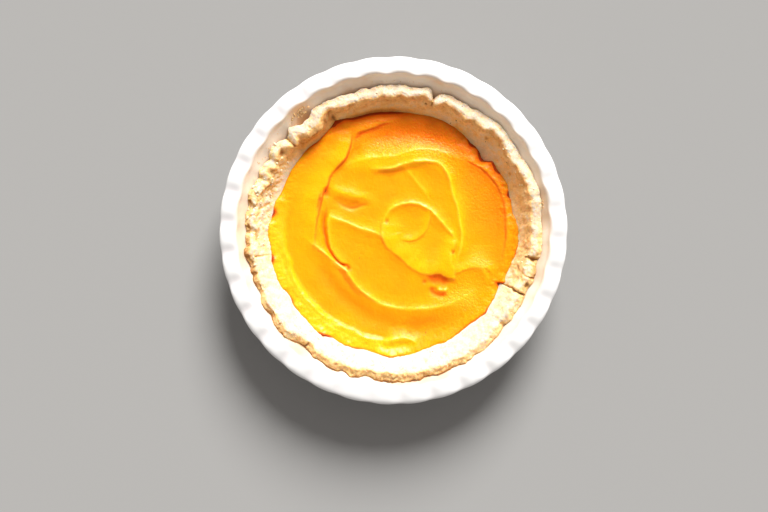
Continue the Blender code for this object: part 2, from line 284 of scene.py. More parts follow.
def scaledColor(color, scale):
    return tuple(part * scale for part in color)


# The dish: one outline turned round, with flutes pressed in by a geometry tree.

dishLook = {
    "flutes": 34, "grooveAngle": 7.55, "stepsPerFlute": 14, "grooveSharpness": 0.7,
    # rows lie closer above and beyond this height and radius, which is the rim
    "rowSpacing": 0.60, "plainRows": 0.28, "fineAbove": 34.0, "fineBeyond": 106.0, "weldMetres": 0.000005,
    # the inner wall where the crust meets it: radius at a level, slope, and how far it bows out higher up
    "wallRadius": 84.0, "wallLevel": 8.0, "wallSlope": 0.838, "wallBow": 0.9,
    # one browned spot, and painted shade in the grooves, strongest at the back left, with both turns in
    # radians
    "spotTurn": 2.24, "spotTightness": 120.0, "grooveShadeTurn": 2.1, "grooveShadeUneven": 0.4, "grooveShadeDepth": 1.5,
    # film: a painted warm shade for the inner wall, with stain as its darker mottling
    "glaze": (0.83, 0.825, 0.82), "wallShadeTint": (0.90, 0.77, 0.64), "stainAndWarmShade": (0.70, 0.45, 0.26),
    # pool: the painted shade in the grooves
    "browned": (0.95, 0.54, 0.24), "grooveShade": (0.70, 0.665, 0.67), "roughness": 0.13,
    "grain": (22.0, 260.0, 0.35),  # here and below: coarse and fine noise scale, and the fine one's share
}
# radius, height, how far a groove presses the wall in, how far it dips the rim's top, and how
# much painted warm shade tints the inner wall
dishOutline = [
    (0, 6, 0, 0, 1), (40, 6, 0, 0, 1), (74, 6, 0, 0, 1), (81, 6.5, 0, 0, 1), (85.2, 9.4, 0.1, 0, 1),
    (96, 22.3, 0.4, 0, 1), (106.2, 33.8, 0.6, 0, 1), (111.7, 40, 0.6, 0, 1), (113.5, 43, 0.6, 0.3, 0.7),
    (115.2, 44.3, 0.4, 1.2, 0.2), (117.6, 44.6, 0.4, 1.7, 0), (120.6, 44.3, 0.3, 1.8, 0),
    (123.4, 43.6, 0.3, 1.6, 0), (125.3, 42.4, 0.4, 1.2, 0), (126, 40.7, 0.5, 0.9, 0),
    (125.6, 39, 0.7, 0.8, 0), (123.6, 37.6, 0.9, 0.8, 0), (120.2, 36.8, 1.4, 0.7, 0),
    (117, 36.2, 1.9, 0.4, 0), (114.6, 34.8, 2.3, 0.1, 0), (109, 28.4, 2.1, 0, 0), (99, 16.4, 1.5, 0, 0),
    (89.4, 4.9, 0.9, 0, 0), (86.6, 1.7, 0.4, 0, 0), (84.4, 0.2, 0, 0, 0), (83, 0, 0, 0, 0),
    (79.4, 0, 0, 0, 0), (78.2, 0.5, 0, 0, 0), (77, 1.2, 0, 0, 0), (40, 1.2, 0, 0, 0), (0, 1.2, 0, 0, 0),
]


def outlineRows():
    # reads the smooth outline, closely on the rim and with wider steps on the plain floor and foot
    look = dishLook
    fine = splineThrough(dishOutline, np.linspace(0, len(dishOutline) - 1, 4000))
    step = np.hypot(*np.diff(fine[:, :2], axis=0).T)
    onRim = (fine[1:, 1] > look["fineAbove"]) & (fine[1:, 0] > look["fineBeyond"])
    step *= np.where(onRim, 1.0, look["plainRows"])
    length = np.concatenate(([0.0], np.cumsum(step)))
    rows = np.linspace(0.0, length[-1], int(length[-1] / look["rowSpacing"]))
    return np.column_stack([np.interp(rows, length, column) for column in fine.T])


def dishWall(height):
    look = dishLook
    straight = look["wallRadius"] + (height - look["wallLevel"]) * look["wallSlope"]
    return straight + look["wallBow"] * easeBetween(26.0, 40.0, height)


def dishTree():
    # turns the outline's points round Z and presses the flutes in, all from named inputs
    look = dishLook
    tree, given, leave = newTree("GeometryNodeTree", "flutedDish", [
        ("Geometry", "Geometry"), ("Rows", "Int", 100), ("Flutes", "Int", 34), ("Steps", "Int", 476),
        ("Groove Angle", "Float", 0.0), ("Sharpness", "Float", 0.25), ("Material", "Material")],
        [("Geometry", "Geometry")])

    def compute(operation, *values):
        return calculate(tree, operation, *values)

    # a grid whose rows are the outline's points and whose columns go round the dish
    around = compute("ADD", given["Steps"], 1)
    grid = addNode(tree, "GeometryNodeMeshGrid", {"Vertices X": given["Rows"], "Vertices Y": around})
    index = addNode(tree, "GeometryNodeInputIndex").outputs[0]
    row = compute("FLOOR", compute("DIVIDE", compute("ADD", index, 0.5), around))
    step = compute("SUBTRACT", index, compute("MULTIPLY", row, around))
    angle = compute("MULTIPLY", compute("DIVIDE", step, given["Steps"]), 2 * math.pi)

    def fromOutline(value, kind="FLOAT"):
        # what the outline holds at this row: a value, or the attribute of that name
        if isinstance(value, str):
            value = namedAttribute(tree, value)
        return addNode(tree, "GeometryNodeSampleIndex", {
            "Geometry": given["Geometry"], "Value": value, "Index": row}, data_type=kind).outputs[0]

    position = fromOutline(addNode(tree, "GeometryNodeInputPosition"), "FLOAT_VECTOR")
    place = addNode(tree, "ShaderNodeSeparateXYZ", {0: position}).outputs
    # film: how much painted warm shade the inner wall gets at this row
    dip, wallShadeTint = fromOutline("dip"), fromOutline("wallShadeTint")
    # a wave that is 1 in the grooves, a little narrower there than on the lobes
    offset = compute("SUBTRACT", angle, compute("RADIANS", given["Groove Angle"]))
    wave = compute("COSINE", compute("MULTIPLY", offset, given["Flutes"]))
    wave = compute("ADD", compute("MULTIPLY", wave, 0.5), 0.5)
    groove = compute("POWER", wave, compute("ADD", given["Sharpness"], 1.0))
    pressed = compute("MULTIPLY", fromOutline("press"), compute("SUBTRACT", groove, 0.5))
    radius = compute("SUBTRACT", place["X"], pressed)
    sunk = compute("MULTIPLY", dip, groove)
    position = addNode(tree, "ShaderNodeCombineXYZ", {
        "X": compute("MULTIPLY", radius, compute("COSINE", angle)),
        "Y": compute("MULTIPLY", radius, compute("SINE", angle)), "Z": compute("SUBTRACT", place["Z"], sunk)})
    away = compute("SUBTRACT", angle, look["spotTurn"])
    spot = compute("EXPONENT", compute("MULTIPLY", compute("MULTIPLY", away, away), -look["spotTightness"]))
    # painted shade in the grooves, stronger towards the back left
    uneven = compute("COSINE", compute("SUBTRACT", angle, look["grooveShadeTurn"]))
    uneven = compute("ADD", 1.0, compute("MULTIPLY", uneven, look["grooveShadeUneven"]))
    grooveShade = compute("MULTIPLY", compute("DIVIDE", sunk, look["grooveShadeDepth"] * mm), uneven)
    mesh = grid.outputs["Mesh"]
    spot = compute("MULTIPLY", spot, wallShadeTint)
    for label, value in (("innerWallShade", wallShadeTint), ("brownedSpot", spot), ("grooveShadeTint", grooveShade)):
        mesh = addNode(tree, "GeometryNodeStoreNamedAttribute", {
            "Geometry": mesh, "Name": label, "Value": value}, data_type="FLOAT", domain="POINT")
    moved = addNode(tree, "GeometryNodeSetPosition", {"Geometry": mesh, "Position": position})
    welded = addNode(tree, "GeometryNodeMergeByDistance", {"Geometry": moved, "Distance": look["weldMetres"]})
    whole = addNode(tree, "GeometryNodeRealizeInstances", {"Geometry": welded})
    return finishTree(tree, whole, given["Material"], leave)


def glazeMaterial():
    look = dishLook
    material, tree, tone, grain = startMaterial("whiteGlaze", *look["grain"])
    color = mixColors(tree, overGrain(tree, tone, 0.0, 1.0), look["glaze"], scaledColor(look["glaze"], 0.985))
    # painted warm shade on the inner wall, mottled by the grain
    wallShadeTint = mixColors(tree, remap(tree, tone, 0.46, 0.66, 0.0, 0.75), look["wallShadeTint"], look["stainAndWarmShade"])
    color = mixColors(tree, readAttribute(tree, "innerWallShade"), color, wallShadeTint)
    color = mixColors(tree, remap(tree, "brownedSpot", 0.1, 1.0, 0.0, 0.8), color, look["browned"])
    # painted shade in the grooves
    color = mixColors(tree, remap(tree, "grooveShadeTint", 0.3, 1.3, 0.0, 0.85), color, look["grooveShade"])
    rough = overGrain(tree, grain, look["roughness"] - 0.03, look["roughness"] + 0.05)
    return finishMaterial(material, {
        "Base Color": color, "Roughness": rough, "Coat Weight": 0.4, "Coat Roughness": 0.06, "IOR": 1.5,
        "Normal": bumpFrom(tree, grain, 0.25, 0.0002)})


def makeDish():
    look = dishLook
    rows = outlineRows()
    outline = meshObject(
        "outline", np.column_stack((rows[:, 0], np.zeros(len(rows)), rows[:, 1])), [],
        {"press": rows[:, 2] * mm, "dip": rows[:, 3] * mm, "wallShadeTint": rows[:, 4]})
    dish = growWithNodes("pieDish", outline, dishTree(), {
        "Rows": len(rows), "Flutes": look["flutes"], "Steps": look["flutes"] * look["stepsPerFlute"],
        "Groove Angle": look["grooveAngle"], "Sharpness": look["grooveSharpness"],
        "Material": glazeMaterial()})
    print("dish:", len(dish.data.polygons), "faces")
    return dish


# The crust: a section read at every angle, from tables of its edge, knobs and hollows.

crustLook = {
    # visibleRows are spread over the part of the section that shows, the rest has one row a point
    "steps": 1260, "visibleRows": 66, "shownFrom": 4.0, "shownTo": 14.0,
    "rimWidth": 7.8, "outerDrop": 2.4, "lowestTop": 38.6, "highestTop": 41.6, "leastApex": 94.0,
    "floor": 12.0, "base": 6.35, "wallGap": 1.2, "edgeWaver": 0.22, "widthWaver": 0.4,
    # the inner wall: radius at a level, and slope
    "innerRadius": 88.7, "innerLevel": 24.0, "innerSlope": 0.9325,
    # where the rim and the wall begin and end along the section
    "rimSpan": ((7.4, 8.8), (12.6, 14.0)), "wallSpan": ((4.6, 6.0), (7.4, 8.8)),
    "rimRoughness": 0.42, "wallRoughness": 0.40, "crumbSize": 5.5, "grainSize": 2.1, "seed": 11,
    "rubbleSize": 7.0, "looseBrownAndShade": 0.36, "cragShadeTan": 0.36, "frontKnobs": 1.3, "knobSize": 5.2,
    "grain": (190.0, 850.0, 0.60),
    "pale": (0.82, 0.72, 0.57), "golden": (0.95, 0.655, 0.295), "brown": (0.44, 0.20, 0.06),
    # toast dims the rim's top on the window side as painted light, stain adds painted warm shade, sticky is a
    # painted contact shadow
    "litSideDim": (0.80, 0.75, 0.74), "stainAndWarmShade": (1.0, 0.68, 0.30), "contactShadowLine": (0.52, 0.10, 0.010),
    # stretches of the crust: angle, half width, strength
    "zones": {
        "loose": [(170, 24, 1.0), (346, 11, 0.7)],  # crumbly, on the left and beside the crack
        "front": [(262, 62, 1.0)],  # with a knobbly outer edge
        "slopeBrownAndShade": [(262, 58, 0.42), (345, 14, 0.3), (196, 22, 0.45)],
        "brownWall": [(128, 11, 0.42), (345, 13, 0.22), (12, 10, 0.10)],
        "palerWall": [(36, 24, 0.5)],
        "shadedCragsTan": [(176, 32, 1.0), (346, 12, 0.5)],
        "lowStain": [(132, 11, 0.9), (30, 24, 0.5)],
        "contactShadowLine": [(99, 21, 1.0), (57, 5, 0.5), (30, 4, 0.4)],
    },
}
# the crust's outer edge: angle and radius
crustEdge = [
    (0, 108.6), (5, 108.3), (9, 109.4), (12, 110.1), (15, 110.5), (18, 110.1), (22, 109.4), (25, 109.4),
    (28, 108.7), (29.5, 107.7), (33, 108.3), (39, 108.5), (41, 109.6), (43, 109.2), (45, 109.9),
    (47, 108.9), (49, 109.3), (51, 107.9), (53.5, 108.3), (55, 107.2), (57, 106.1), (60, 106.7),
    (64, 106.3), (67, 107), (69, 106.5), (71, 105), (73, 101.9), (75, 106.4), (77, 107.4), (79, 106.1),
    (81, 105.4), (84, 105.8), (87, 106.8), (93, 106.1), (95, 106.5), (98, 105.4), (100, 105.1), (102, 106),
    (104, 105.5), (106.5, 104.2), (109, 105.2), (111, 106), (113, 105.5), (117, 106), (118.5, 106.8),
    (120, 106.3), (122, 106.9), (124, 106), (126, 104), (128, 103), (130, 102.5), (132, 103.5),
    (134, 105.8), (135.5, 107.1), (137, 105.4), (138.5, 103.6), (140, 103.5), (142, 105.9), (143.5, 106.9),
    (147, 107.4), (148.5, 106.8), (150, 105), (151.5, 105.4), (153, 106.5), (155, 107), (157, 106.7),
    (158.5, 105.6), (160, 106.7), (161.8, 106.4), (163, 108.3), (165, 109.8), (167, 109.4), (169, 108.3),
    (171, 107.8), (174, 108.7), (177, 108.5), (180, 107.6), (182, 108.3), (186, 108), (187, 109.4),
    (188.5, 111), (190, 110.1), (194, 108), (196, 109.4), (197.5, 107.6), (199, 108.9), (203, 107.8),
    (205, 107.4), (207, 109.4), (210, 110), (212, 109.8), (214, 108.7), (216, 109.4), (218, 110.8),
    (222, 111.3), (224, 110.8), (226, 110.1), (228, 108.7), (232, 106.9), (234, 107.1), (236, 108.7),
    (238, 109.8), (240, 109), (244, 110.5), (248, 110.7), (250, 109), (253, 110.7), (255, 110.5),
    (257, 109.8), (259, 108), (262, 109.4), (265, 110.5), (267, 109.9), (270, 110.5), (273.5, 110.9),
    (276, 110.3), (280, 110.5), (282, 109.4), (286, 109.6), (288, 110.4), (292, 109.4), (294, 109),
    (298, 109.8), (303, 108.9), (308, 109.4), (311, 108.3), (316, 108), (318, 106.9), (319.5, 106.1),
    (321, 107.2), (323, 108.3), (325, 107.1), (331, 108.2), (333, 107.2), (336, 106.9), (338, 108),
    (341.5, 109.4), (345, 108.3), (347, 107.2), (349.5, 108.3), (351.5, 109.8), (354, 109), (357, 108.7),
]
# how far the flat top reaches in from the edge, beyond the rim's width: angle, half width, amount
flakes = [
    (12, 4, 0.5), (30, 3.5, 0.9), (44, 4, -0.8), (48.5, 3, 2.6), (57, 3.6, 1.8), (66, 4, -0.6),
    (77.5, 3, -1.2), (90, 6, 0.8), (98, 5, 0.6), (112, 4, 1), (118.5, 2.4, -1.6), (124.5, 3.2, 2.2),
    (129.5, 3.6, 2.6), (137.5, 2.6, 1.2), (145, 4, -0.5), (160, 6, 0.6), (204, 3, -1.4), (212, 4, -0.8),
    (222, 5, 0.2), (246, 5, 1), (270, 8, 0.8), (345, 8, 0.8),
]
# where the top is higher or lower: angle, half width, amount
rimUp = [
    (49, 3, -0.5), (57, 3, -0.5), (73, 1.6, -2), (77.5, 2.4, 0.6), (128.5, 4, -0.5), (139, 1.6, -1.8),
    (145, 3, 0.5), (150.3, 1.4, -1.5), (158.6, 1.2, -1.2), (170.6, 1.4, -1.2), (180.5, 1.6, -0.9),
    (193.5, 2, -0.9), (197.3, 1.4, -0.7), (205.5, 1.6, -0.9), (214.2, 1.2, -0.6), (233, 2.2, -0.9),
    (241, 1.4, -0.6), (250.2, 1.2, -0.7), (259, 1.4, -0.8), (319.5, 1.7, -0.8), (347, 1.8, -0.8),
]
# the wall under the rim: hollows are positive, swellings over the filling are negative
wallPush = [
    (16, 3, 0.5), (24, 4, 0.6), (31, 3, -0.7), (43, 4, 0.9), (48.5, 3, -1.1), (57, 3, -0.8), (66, 4, 0.6),
    (77, 3.5, -1), (92, 5, 0.5), (104, 4, -0.5), (118.2, 1.6, 3), (128.5, 7, -3.9), (139, 1.8, 1),
    (146, 4, -0.9), (155, 4, -0.7), (163, 3, 0.5), (345, 4, -0.8), (356, 3, 0.6),
]
# browned hollows seen from above: angle, radius, half widths round and across, depth, browning
hollows = [
    (145.6, 99.2, 3.4, 2.6, 0.5, 0.5), (154.3, 100.2, 3.2, 2.2, 0.5, 0.52), (161.2, 99.4, 2, 1.4, 0.6, 0.4),
    (168.6, 106.6, 2.2, 1.4, 0.6, 0.45), (178, 105.6, 2.4, 1.5, 0.6, 0.45),
    (183.2, 99.5, 3.2, 1.8, 0.9, 0.4), (129, 97, 0.9, 1.6, 0.5, 0.45), (75.6, 95.4, 1, 0.6, 0.5, 0.7),
    (26, 94.6, 1.5, 0.8, 0.6, 0.5), (45, 95.8, 1.6, 0.9, 0.5, 0.45), (117.8, 93.6, 1.2, 2.2, 0.8, 0.6),
    (190.2, 107.8, 1.6, 1.8, 0.6, 0.7), (337.8, 104.5, 2, 1.6, 0.8, 0.7), (348.2, 103.2, 1.6, 2.2, 1, 0.75),
    (342, 108.2, 1.5, 1, 0.6, 0.8),
]
# cracks that run down the section: angle, from and to along it, depth and width
cracks = [
    (333.6, 7.4, 11.5, 3.2, 0.7), (334.2, 5.2, 7.6, 2, 0.5), (190.8, 6.4, 9.2, 0.6, 0.6),
    (73.2, 8.5, 13, 1.4, 0.7), (139.3, 8, 13, 1.4, 0.8), (348.6, 8.2, 12, 1.2, 0.7), (341, 9, 12.5, 1, 0.5),
    (233, 10.5, 13.5, 0.8, 0.6),
]


def crustCone(height):
    look = crustLook
    return look["innerRadius"] + (height - look["innerLevel"]) * look["innerSlope"]


def ringTable(marks, angle):
    # smooth closed curve through (angle, value) marks
    places, values = np.array(marks, float).T
    places = np.concatenate((places[-2:] - 360.0, places, places[:2] + 360.0))
    values = np.concatenate((values[-2:], values, values[:2]))
    read = np.interp(angle % 360.0, places, np.arange(len(places)))
    return splineThrough(values, read)


def blurRound(values, width):
    # soft average round the ring, width in samples
    reach = np.arange(-3 * width, 3 * width + 1)
    weight = np.exp(-(reach / width) ** 2)
    return sum(share * np.roll(values, int(shift)) for share, shift in zip(weight, reach)) / weight.sum()


def wavesAround(angle, counts, seed):
    draw = np.random.default_rng(seed)
    total = np.zeros_like(angle)
    for count in counts:
        total += np.sin(np.radians(angle) * count + draw.uniform(0.0, 2.0 * math.pi))
    return total / math.sqrt(len(counts))


def crustSection(angle):
    # the control points of the section at each angle: shape (points, angles, 2)
    look = crustLook
    drop, gap = look["outerDrop"], look["wallGap"]
    waver = look["edgeWaver"]
    edge = ringTable(crustEdge, angle) + waver * wavesAround(angle, (67, 89, 113), look["seed"])
    reach = blurRound(edge, 8)
    heights = np.linspace(30.0, 44.0, 200)
    top = np.interp(reach + 0.4, dishWall(heights), heights) + drop
    top = blurRound(np.clip(top, look["lowestTop"], look["highestTop"]), 5)
    top = top + humpSum(rimUp, angle) + waver * wavesAround(angle, (31, 47, 71), look["seed"] + 1)
    width = look["rimWidth"] + humpSum(flakes, angle)
    width = width + look["widthWaver"] * wavesAround(angle, (37, 53, 79), look["seed"] + 2)
    apex = np.maximum(reach - width, look["leastApex"])
    push = humpSum(wallPush, angle)
    shoulder = top - 10.0
    points = [
        (0.0, look["floor"]), (50.0, look["floor"]), (74.5, look["floor"]),  # the floor and the inner wall
        (crustCone(14.0), 14.0), (crustCone(19.5), 19.5), (crustCone(24.0) + 0.25 * push, 24.0),
        (crustCone(28.5) + 0.8 * push, 28.5), ((crustCone(28.5) + apex) / 2 + 0.2 + push, (28.5 + top) / 2),
        (apex - 1.9 + 0.4 * push, top - 3.1), (apex - 0.1, top - 0.8), (apex + 2.4, top - 0.05),  # the top
        (edge - 2.7, top - 0.55 * drop), (edge - 0.3, top - 1.1 * drop), (edge - 0.9, top - 1.9 * drop),
        # the outer wall
        (dishWall(shoulder) - gap, shoulder), (dishWall(20.0) - gap, 20.0), (dishWall(8.4) - gap, 8.4),
        (81.0, look["base"]), (50.0, look["base"]), (0.0, look["base"]),  # underneath
    ]
    return np.array([np.stack(np.broadcast_arrays(*point, angle)[:2], axis=-1) for point in points])


def crustSurface():
    # returns places (rows, angles, 3), and the browning, the painted dimming of the rim on the window side,
    # and the stain with painted warm shade of each
    look = crustLook
    angle = np.arange(look["steps"]) * 360.0 / look["steps"]
    section = crustSection(angle)
    shown = np.linspace(look["shownFrom"], look["shownTo"], look["visibleRows"])
    rest = np.arange(look["shownTo"] + 1.0, len(section))
    reads = np.concatenate((np.arange(look["shownFrom"]), shown, rest))
    outline = splineThrough(section, reads)
    along = np.gradient(outline, axis=0)
    along /= np.linalg.norm(along, axis=2)[..., None] + 1e-9
    normal = np.stack((-along[..., 1], along[..., 0]), axis=-1)
    read = reads[:, None] * np.ones_like(angle)
    around = angle[None, :] * np.ones_like(reads)[:, None]
    turn = np.radians(around)
    radius = outline[..., 0]
    solid = np.stack((radius * np.cos(turn), radius * np.sin(turn), outline[..., 1]), axis=-1).reshape(-1, 3)

    def noise(size, seed, layers=2):
        return layeredNoise(solid, size, seed, layers).reshape(read.shape)

    def zone(label):
        return humpSum(look["zones"][label], angle)[None, :]

    def span(rise, fall):
        # 1 between two stretches of the section, and 0 beyond them
        return easeBetween(*rise, read) * (1.0 - easeBetween(*fall, read))

    def facing(direction):
        # 1 on the side of that angle, 0 on the opposite side
        return 0.5 + 0.5 * np.cos(np.radians(around - direction))

    seed = look["seed"]
    onRim, onWall = span(*look["rimSpan"]), span(*look["wallSpan"])
    front = zone("front")
    lumps = noise(look["crumbSize"], seed + 10, 3)
    crumbs = noise(look["grainSize"], seed + 20)
    out = onRim * (look["rimRoughness"] * lumps + 0.20 * crumbs)
    out += onWall * (look["wallRoughness"] * lumps + 0.13 * crumbs + 0.35 * noise(9.0, seed + 30))
    rubble = np.abs(noise(look["rubbleSize"], seed + 40))
    out += zone("loose") * (onRim + onWall * 1.15) * (rubble - 0.3)
    # browning in the rubble's low places, also standing in for their warm shade
    brown = look["looseBrownAndShade"] * zone("loose") * (onRim + onWall) * np.clip(1.0 - 3.0 * rubble, 0.0, 1.0)
    knobs = np.abs(noise(look["knobSize"], seed + 60)) - 0.3
    out += look["frontKnobs"] * front * span((9.0, 10.4), (12.0, 13.2)) * knobs
    for middle, place, halfRound, halfAcross, depth, browned in hollows:
        across = np.radians(angleAway(around, middle)) * radius
        hole = np.exp(-((across / halfRound) ** 2 + ((radius - place) / halfAcross) ** 2) ** 1.3)
        hole = hole * (read < 13.2)
        out -= depth * hole
        brown += browned * hole
    for middle, first, last, depth, width in cracks:
        across = np.radians(angleAway(around, middle)) * radius + 0.5 * noise(6.0, int(middle))
        cut = span((first - 0.8, first + 0.4), (last - 0.4, last + 0.8))
        cut = np.exp(-np.abs(across / width) ** 1.4) * cut
        out -= depth * cut
        brown += 0.8 * cut
    # relief only where the crust shows, and none of it inside the dish's wall
    hidden = (read < 4.2) | (read > 14.2)
    moved = np.where(hidden[..., None], outline, outline + normal * out[..., None])
    limit = dishWall(moved[..., 1]) - 0.4
    moved[..., 0] = np.where(read > 9.0, np.minimum(moved[..., 0], limit), moved[..., 0])
    places = np.stack((moved[..., 0] * np.cos(turn), moved[..., 0] * np.sin(turn), moved[..., 1]), axis=-1)
    # browning of the outer slope, with painted shade added on its side away from the window and a painted
    # contact shadow along the front's foot; then the wall under the back of the rim
    patch = 0.5 + 0.5 * noise(8.0, seed + 50, 3)
    slope = easeBetween(10.2 - front, 11.2 - front, read)
    brown += (0.05 + zone("slopeBrownAndShade")) * slope * (0.45 + 1.1 * patch) + 0.55 * easeBetween(12.4, 13.2, read)
    brown += 0.75 * front * easeBetween(11.25, 11.8, read) * (0.55 + 0.7 * patch)
    # painted light: the rim's top on the side facing the window is dimmed
    litSideDim = easeBetween(9.0, 10.0, read) * facing(80.0) * (0.7 + 0.4 * patch)
    shadedWallSide = easeBetween(0.42, 0.92, facing(72.0))
    # painted shade: the wall that lies in shade is painted golden under the rim and paler lower down, paler
    # most of all on the right
    upperWall = span((4.4, 7.0), (8.8, 9.8))
    paler = zone("palerWall") * (1.0 - easeBetween(6.6, 8.4, read))
    brown += upperWall * (0.15 + 0.85 * shadedWallSide) * (0.34 + 0.24 * patch) * (1.0 - paler)
    brown += onWall * zone("brownWall") * (0.5 + 0.6 * patch)
    # browning in the hollows, also standing in for their warm shade
    brown += (onRim + onWall) * 0.22 * np.clip(-0.5 * lumps - crumbs, 0.0, 1.2)
    brown += onRim * 0.10 * np.clip(lumps, 0.0, 1.0)
    # painted shade: the crags' sides that face away from the window are painted tan
    face = np.cross(np.gradient(places, axis=0), np.roll(places, -1, axis=1) - np.roll(places, 1, axis=1))
    face /= np.linalg.norm(face, axis=2)[..., None] + 1e-9
    away = easeBetween(0.35, -0.25, face @ towardWindow())
    brown += look["cragShadeTan"] * away * (onRim + onWall) * zone("shadedCragsTan")
    # the puree's warm stain, together with painted warm shade for the orange light bounced onto the shaded
    # wall, strongest low down and at the back
    stainAndWarmShade = (1.0 - easeBetween(4.6, 7.0, read)) * (0.10 + 0.90 * shadedWallSide) * (0.4 + 0.4 * patch)
    stainAndWarmShade *= 1.0 - 0.6 * paler
    stainAndWarmShade += 0.5 * upperWall * shadedWallSide * patch
    stainAndWarmShade += 0.55 * (1.0 - easeBetween(5.2, 8.4, read)) * zone("lowStain")
    # a painted contact shadow: a dark line just above the puree at the back, kept in the stain's values over
    # 1
    contactShadowLine = (1.0 - easeBetween(5.05, 5.75, read)) * zone("contactShadowLine")
    brown += 0.3 * contactShadowLine
    stainAndWarmShade = np.clip(np.clip(stainAndWarmShade, 0.0, 1.0) + contactShadowLine, 0.0, 2.0)
    brown, litSideDim = np.clip(brown, 0.0, 1.0), np.clip(litSideDim, 0.0, 1.0)
    return places, {"browning": brown, "litSideDim": litSideDim, "stainAndWarmShade": stainAndWarmShade}


def crustMaterial():
    look = crustLook
    material, tree, tone, grain = startMaterial("bakedShortcrust", *look["grain"])
    waver = overGrain(tree, tone, -0.12, 0.12)
    total = calculate(tree, "ADD", readAttribute(tree, "browning"), waver, use_clamp=True)
    color = colorSteps(tree, total, [(0.0, look["pale"]), (0.35, look["golden"]), (0.95, look["brown"])])
    # painted light: the rim's top is dimmed where the window lights it most
    toasted = mixColors(tree, 1.0, color, look["litSideDim"], "MULTIPLY")
    color = mixColors(tree, readAttribute(tree, "litSideDim"), color, toasted)
    # the puree's stain together with painted warm shade
    stained = mixColors(tree, 1.0, color, look["stainAndWarmShade"], "MULTIPLY")
    color = mixColors(tree, remap(tree, "stainAndWarmShade", 0.0, 1.0, 0.0, 0.95), color, stained)
    # painted contact shadow just above the puree
    color = mixColors(tree, remap(tree, "stainAndWarmShade", 1.0, 1.8, 0.0, 0.9), color, look["contactShadowLine"])
    # pale flour bloom and small darker pits
    bloom = remap(tree, grain, 0.35, 0.65, 0.86, 1.06)
    shade = addNode(tree, "ShaderNodeCombineColor", {0: bloom, 1: bloom, 2: bloom}).outputs[0]
    return finishMaterial(material, {
        "Base Color": mixColors(tree, 1.0, color, shade, "MULTIPLY"),
        "Roughness": overGrain(tree, tone, 0.70, 0.88), "Specular IOR Level": 0.2,
        "Subsurface Weight": 0.65, "Subsurface Scale": 0.003, "Subsurface Radius": (1.0, 0.62, 0.32),
        "Normal": bumpFrom(tree, grain, 0.55, 0.0010)})


def makeCrust():
    places, marks = crustSurface()
    count, steps = places.shape[:2]

    def closed(values):
        # the first and last rows are one point each, in the middle
        return np.concatenate((values[0, :1], *values[1:-1], values[-1, :1]))

    rows = 1 + np.arange((count - 2) * steps).reshape(-1, steps)
    vertices = closed(places)
    faces = fanFaces(0, rows[0], False)
    for upper, lower in zip(rows, rows[1:]):
        faces += quadsBetween(upper, lower)
    faces += fanFaces(len(vertices) - 1, rows[-1], True)
    marks = {label: closed(values) for label, values in marks.items()}
    crust = meshObject("shortcrustShell", vertices, faces, marks)
    crust.data.materials.append(crustMaterial())
    facesOutward(crust)
    print("crust:", len(crust.data.polygons), "faces")
    return crust


# The filling: a level puree with named spoon strokes.

fillingLook = {
    "cells": 288, "level": 24.0, "sinkIntoCrust": 0.9, "edgeReach": 9.0, "seed": 5,
    "bankFrom": 77.5, "waver": 0.35, "grainHeight": 0.07, "leastTorn": 0.22, "tornSize": 4.8,
    "skirt": [(82.5, 18.0), (76.0, 12.4), (40.0, 12.4)],  # the side and the underside: radius and height
    "warp": [(12.0, 0.7), (3.6, 0.28)],  # a coarse and a fine one: size of the waves and shift
    "grain": (60.0, 1300.0, 0.6),
    # crest: painted highlight on the ridges; hollow, crease and caramel: painted shade in low places, creases
    # and along the contact with the crust
    "crestGlint": (0.98, 0.55, 0.001), "body": (0.98, 0.47, 0.001), "hollow": (0.93, 0.25, 0.001),
    "creaseAndShade": (0.84, 0.15, 0.001), "shaded": (0.80, 0.17, 0.001), "contactShade": (0.36, 0.042, 0.001),
    "roughness": 0.33, "shine": 0.17, "creaseDull": 0.5, "ridgeGloss": 0.8,
    # stretches of the puree: angle, half width, strength
    "zones": {
        "bank": [(226, 42, 1.9), (184, 14, 0.9), (262, 16, 0.6)],  # pushed up the crust, left and front
        "torn": [(24, 30, 0.42), (330, 14, 0.25), (232, 34, 0.30)],
        "shadedBack": [(74, 50, 0.9)],
        "shadedSides": [(12, 30, 0.45), (300, 30, 0.2)],
        "rippled": [(74, 38, 1.0), (18, 16, 0.45), (320, 22, 0.5)],
    },
}
# where the puree ends on the crust: angle and radius
fillingEdgeMarks = [
    (0, 91.5), (5, 90.6), (8, 88.9), (12, 89), (20, 90), (25, 90), (30, 89.4), (35, 89.2), (38, 85.4),
    (42, 86.4), (46, 87.1), (50, 87.2), (55, 87.9), (60, 88.5), (70, 88.6), (80, 88), (90, 88.4),
    (100, 88.8), (110, 89.2), (117, 91.4), (120, 90), (123, 88.6), (127, 87.5), (130, 86.8), (135, 87.6),
    (140, 87.2), (150, 87.4), (160, 87), (163, 87.7), (166, 89.3), (172, 90), (175, 89.9), (177, 91.4),
    (180, 91.8), (185, 91.2), (191, 91), (194, 92.2), (203, 91.8), (207, 91.8), (210, 90.3), (214, 90.3),
    (218, 91.3), (226, 91.5), (230, 92), (235.5, 93.4), (238, 92), (240, 90.7), (245, 91), (250, 91.3),
    (254, 90.3), (257, 89.8), (262, 91), (269, 93), (273, 92), (280, 91), (285, 90), (290, 89.5),
    (295, 90.2), (300, 89.8), (305, 89), (310, 89), (315, 90), (318, 90.7), (322, 89.8), (327, 89),
    (333.3, 88.1), (335, 90.6), (337, 89.6), (340, 89.3), (345, 90.3), (350, 91.8), (357, 91.5),
]
